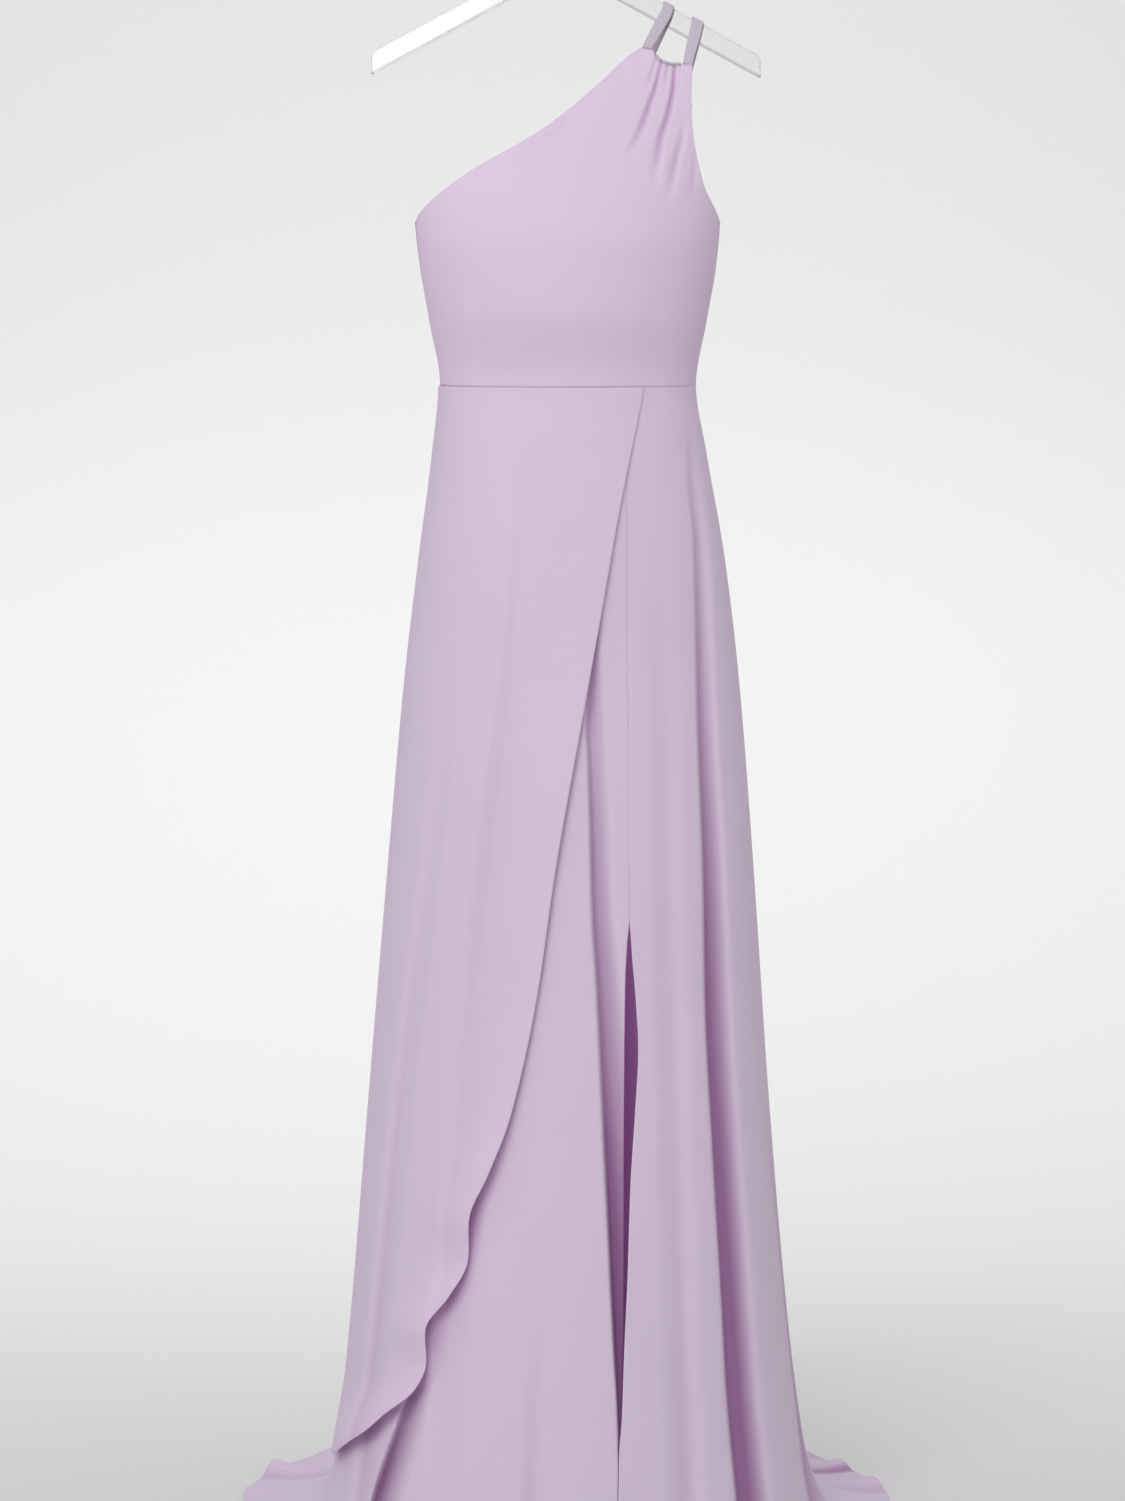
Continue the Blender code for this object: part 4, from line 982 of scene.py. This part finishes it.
def make_dress():
    # Each chiffon turns from its face colour to a painted shade colour down in its folds
    cloth = chiffon("lilac_chiffon", CLOTH_LIGHT, CLOTH_PAINTED_SHADE, 0.2, 0.28)
    # The inside's cloth is painted lighter and pinker, for light bounced inside the skirt
    inside = chiffon("lilac_chiffon_inside", INSIDE_PAINTED_BOUNCE, INSIDE_PAINTED_SHADE, 0.1, 0.45)
    strap_cloth = chiffon("lilac_strap_cloth", STRAP_LIGHT, STRAP_PAINTED_SHADE, 0.2)
    hem_cloth = chiffon("lilac_rolled_hem", HEM_LIGHT, HEM_LIGHT, 0.2)
    # The left slit's rolled hem, on the shaded side, has the painted shade colour all along
    shaded_hem = chiffon("lilac_rolled_hem_in_shade", CLOTH_PAINTED_SHADE, CLOTH_PAINTED_SHADE, 0.1)
    sewing_thread = thread("lilac_thread", CLOTH_LIGHT)
    rolled, stitched = roll_tree(), stitch_tree()

    def hem(name, lines, finish=hem_cloth):
        return grow(name, lines, rolled, {"Radius": HEM_ROLL, "Step": ROLL_STEP}, finish)

    def stitches(name, lines):
        sizes = {"Pitch": STITCH_PITCH, "Length": STITCH_LENGTH, "Thickness": STITCH_THICKNESS}
        return grow(name, lines, stitched, sizes, sewing_thread)

    grid, shade = bodice_grid(NECKLINE, TOP_EDGE, ARMHOLE, BODICE_FOLDS, False, (70, 64, 40), 110)
    front_edge = grid[0]
    piece = cloth_panel("bodice_front_cloth", grid, shade, CLOTH, (cloth, inside))
    trims = [hem("front_neckline_roll", neckline_and_armhole(grid)),
             stitches("waist_seam_stitches", [stitch_line(grid, "bottom", WAIST_STITCH_INSET)])]
    sewn(piece, "bodice_front")
    grid, shade = bodice_grid(BACK_NECKLINE, BACK_TOP_EDGE, BACK_ARMHOLE, BODICE_BACK_FOLDS, True,
                              (60, 48, 36), 90)
    back_edge = grid[0][::-1]
    piece = cloth_panel("bodice_back_cloth", grid, shade, CLOTH, (cloth, inside))
    trims = [hem("back_neckline_roll", neckline_and_armhole(grid[:, ::-1])),
             stitches("back_waist_seam_stitches", [stitch_line(grid, "bottom", WAIST_STITCH_INSET)])]
    sewn(piece, "bodice_back")

    def slit_left(drop):
        return float(front_angle(read(LEFT_LIP, drop, 1), drop))

    def slit_right(drop):
        return float(front_angle(read(RIGHT_LIP, drop, 1), drop))

    grid, shade = skirt_grid(lambda drop: -90.0, slit_left, 150, 210, 30, UNDER_LEFT_FOLDS,
                             (FLOOR, SLIT_TOP))
    grid = tuck_under(grid)
    piece = cloth_panel("skirt_front_left_cloth", grid, shade + wrap_shadow(grid), CLOTH, (cloth, inside))
    trims = [hem("left_slit_roll", [edge_line(grid, "right", SLIT_TOP)], shaded_hem),
             hem("left_hem_roll", [edge_line(grid, "bottom")]),
             stitches("left_slit_and_hem_stitches", [stitch_line(grid, "right", HEM_DEPTH, SLIT_TOP),
                                                     stitch_line(grid, "bottom", HEM_DEPTH)])]
    sewn(piece, "skirt_front_left")
    grid, shade = skirt_grid(slit_right, lambda drop: 90.0, 130, 210, 30, FRONT_RIGHT_FOLDS,
                             (SLIT_TOP, FLOOR))
    piece = cloth_panel("skirt_front_right_cloth", grid, shade, CLOTH, (cloth, inside))
    trims = [hem("right_slit_and_hem_roll", [edge_line(grid, "left", SLIT_TOP), edge_line(grid, "bottom")]),
             stitches("right_slit_and_hem_stitches", [stitch_line(grid, "left", HEM_DEPTH, SLIT_TOP),
                                                      stitch_line(grid, "bottom", HEM_DEPTH)])]
    sewn(piece, "skirt_front_right")
    grid, shade = wrap_grid(110, 220)
    piece = cloth_panel("skirt_overlay_cloth", grid, shade, CLOTH, (cloth, inside))
    trims = [hem("wrap_edge_roll", [edge_line(grid, "right"), edge_line(grid, "bottom")]),
             stitches("wrap_edge_stitches", [stitch_line(grid, "right", HEM_DEPTH, WRAP_STITCH_TOP)])]
    sewn(piece, "skirt_overlay")
    folds = back_folds()
    for side, left, right in (("right", 90.0, 180.0), ("left", 180.0, 270.0)):
        grid, shade = skirt_grid(lambda drop: left, lambda drop: right, 120, 170, 60, folds, (FLOOR, FLOOR))
        piece = cloth_panel(f"skirt_back_{side}_cloth", grid, shade, CLOTH, (cloth, inside))
        trims = [hem(f"train_{side}_roll", [edge_line(grid, "bottom")]),
                 stitches(f"train_{side}_stitches", [stitch_line(grid, "bottom", HEM_DEPTH)])]
        sewn(piece, f"skirt_back_{side}")

    for node, table in (("strap_inner", STRAP_INNER), ("strap_outer", STRAP_OUTER)):
        strap = strap_grid(table)
        piece = cloth_panel(node + "_cloth", strap, np.zeros(strap.shape[:2]), STRAP_THICKNESS,
                            (strap_cloth,))
        sewn(piece, node)
    for node, edge in (("neck_binding_front", front_edge), ("neck_binding_back", back_edge)):
        piece = binding(node + "_cloth", edge, strap_cloth)
        sewn(piece, node)


def neckline_and_armhole(grid):
    """The turned edges on both sides of the gathered binding."""
    line = edge_line(grid, "top")
    return [line[:int(np.argmax(line[:, 0] > BINDING_FROM))], line[int(np.argmax(line[:, 0] > BINDING_TO)):]]


def strap_grid(table):
    """The grid of a strap: a soft flat tube, from its back end over the arm to its front end."""
    rows = np.array(table)[::-1]
    steps = np.arange(len(rows))
    fine = np.linspace(0, len(rows) - 1, STRAP_ROWS * len(rows))
    x, y, drop, across, fall = (read(np.column_stack((steps, rows[:, k])), fine, 1) for k in range(5))
    upright = np.minimum(1, np.abs(y) / STRAP_TURN)
    grid = []
    for side in np.linspace(-0.5, 0.5, STRAP_ACROSS):
        crown = 0.5 * (1 - (2 * side) ** 2) ** 0.5 if abs(side) < 0.5 else 0.0
        sink = (crown - 0.5) * STRAP_CROWN
        grid.append(np.stack((x + across * side, y + np.sign(y) * sink * upright,
                              -(drop + fall * side) + sink * (1 - upright)), axis=-1))
    return np.stack(grid, axis=1)


def binding(name, edge, finish):
    """The narrow rolled binding that holds the gathers, just above the bodice's edge."""
    gathered = edge[(edge[:, 0] > BINDING_FROM) & (edge[:, 0] < BINDING_TO)]
    along = np.gradient(gathered, axis=0)
    along[:, 1] = 0
    along /= np.linalg.norm(along, axis=1, keepdims=True)
    seat = np.stack((-along[:, 2], np.zeros(len(along)), along[:, 0]), axis=1)
    middle = gathered + seat * (BINDING_RADIUS + BINDING_SEAT)
    middle[:, 1] -= np.sign(middle[:, 1]) * 0.5 * CLOTH
    curve = bpy.data.curves.new(name, "CURVE")
    curve.dimensions = "3D"
    curve.bevel_depth = BINDING_RADIUS * MM
    curve.bevel_resolution = 5
    curve.use_fill_caps = True
    spline = curve.splines.new("POLY")
    spline.points.add(len(middle) - 1)
    for target, point in zip(spline.points, middle):
        target.co = (*to_world(point), 1.0)
    curve.materials.append(finish)
    return add_object(name, curve)


def arm_edge(x):
    """The drop of the arms' upper edge, straight with a rounded bend in the middle."""
    away = abs(x)
    if away < ARM_BEND:
        return ARM_APEX + ARM_SLOPE * (away ** 2 + ARM_BEND ** 2) / (2 * ARM_BEND)
    return ARM_APEX + ARM_SLOPE * away


def arm_end(end, turns):
    """The rounded upper corner at an end of the arms, as x and drop."""
    inwards = -math.copysign(1.0, end)
    corner = []
    for turn in turns:
        back = ARM_CORNER * (1 - math.sin(math.radians(turn)))
        rise = ARM_CORNER * (1 - math.cos(math.radians(turn)))
        x = end + inwards * rise
        corner.append((x, arm_edge(x) + back))
    return corner


def arm_outline():
    """The lower edge of both arms, and the edge back over their ends and the hook's boss."""
    bend = np.linspace(-ARM_BEND, ARM_BEND, 17)
    lower = [(x, arm_edge(x) + ARM_HEIGHT) for x in (ARM_LEFT, *bend, ARM_RIGHT)]
    half = 0.5 * BOSS_WIDTH
    boss_top = arm_edge(0) - BOSS_HEIGHT
    upper = arm_end(ARM_RIGHT, np.linspace(0, 90, 7))
    upper += [(x, arm_edge(x)) for x in bend[::-1] if x > half]
    upper += [(half, arm_edge(half)), (half, boss_top), (-half, boss_top), (-half, arm_edge(half))]
    upper += [(x, arm_edge(x)) for x in bend[::-1] if x < -half]
    upper += arm_end(ARM_LEFT, np.linspace(90, 0, 7))
    return lower, upper


def dress_hanger():
    clear = clear_plastic("clear_moulded_plastic", CLEAR_WEB)
    # The lower rim gets the darker tint, a painted shade
    rim = clear_plastic("clear_plastic_rim", CLEAR_RIM_PAINTED_SHADE)
    lower, upper = arm_outline()
    outline = lower + upper
    count = len(outline)
    verts = [(x * MM, y * ARM_WEB * MM, -drop * MM) for y in (-0.5, 0.5) for x, drop in outline]
    faces = [tuple(range(count)), tuple(range(2 * count - 1, count - 1, -1))]
    faces += [(i, i + count, (i + 1) % count + count, (i + 1) % count) for i in range(count)]
    mesh = bpy.data.meshes.new("hanger_arms_web")
    mesh.from_pydata(verts, [], faces)
    mesh.materials.append(clear)
    web = add_object("hanger_arms_web", mesh)
    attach(web, "root")
    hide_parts("hanger_arms")
    roll = roll_tree()
    rims = (("hanger_arms_lower_rim", lower, ARM_RIM, rim),
            ("hanger_arms_upper_rim", lower[-1:] + upper + lower[:1], 0.5 * ARM_RIM, clear))
    for name, edge, radius, finish in rims:
        line = np.array([(x - DRESS_X, 0, -drop) for x, drop in edge])
        grow(name, [line], roll, {"Radius": radius, "Step": ARM_RIM_STEP}, finish)
    hook = bpy.data.objects["hanger_hook"]
    hook.data.materials.clear()
    hook.data.materials.append(polished_wire())


add_camera()
make_dress()
dress_hanger()
add_studio()
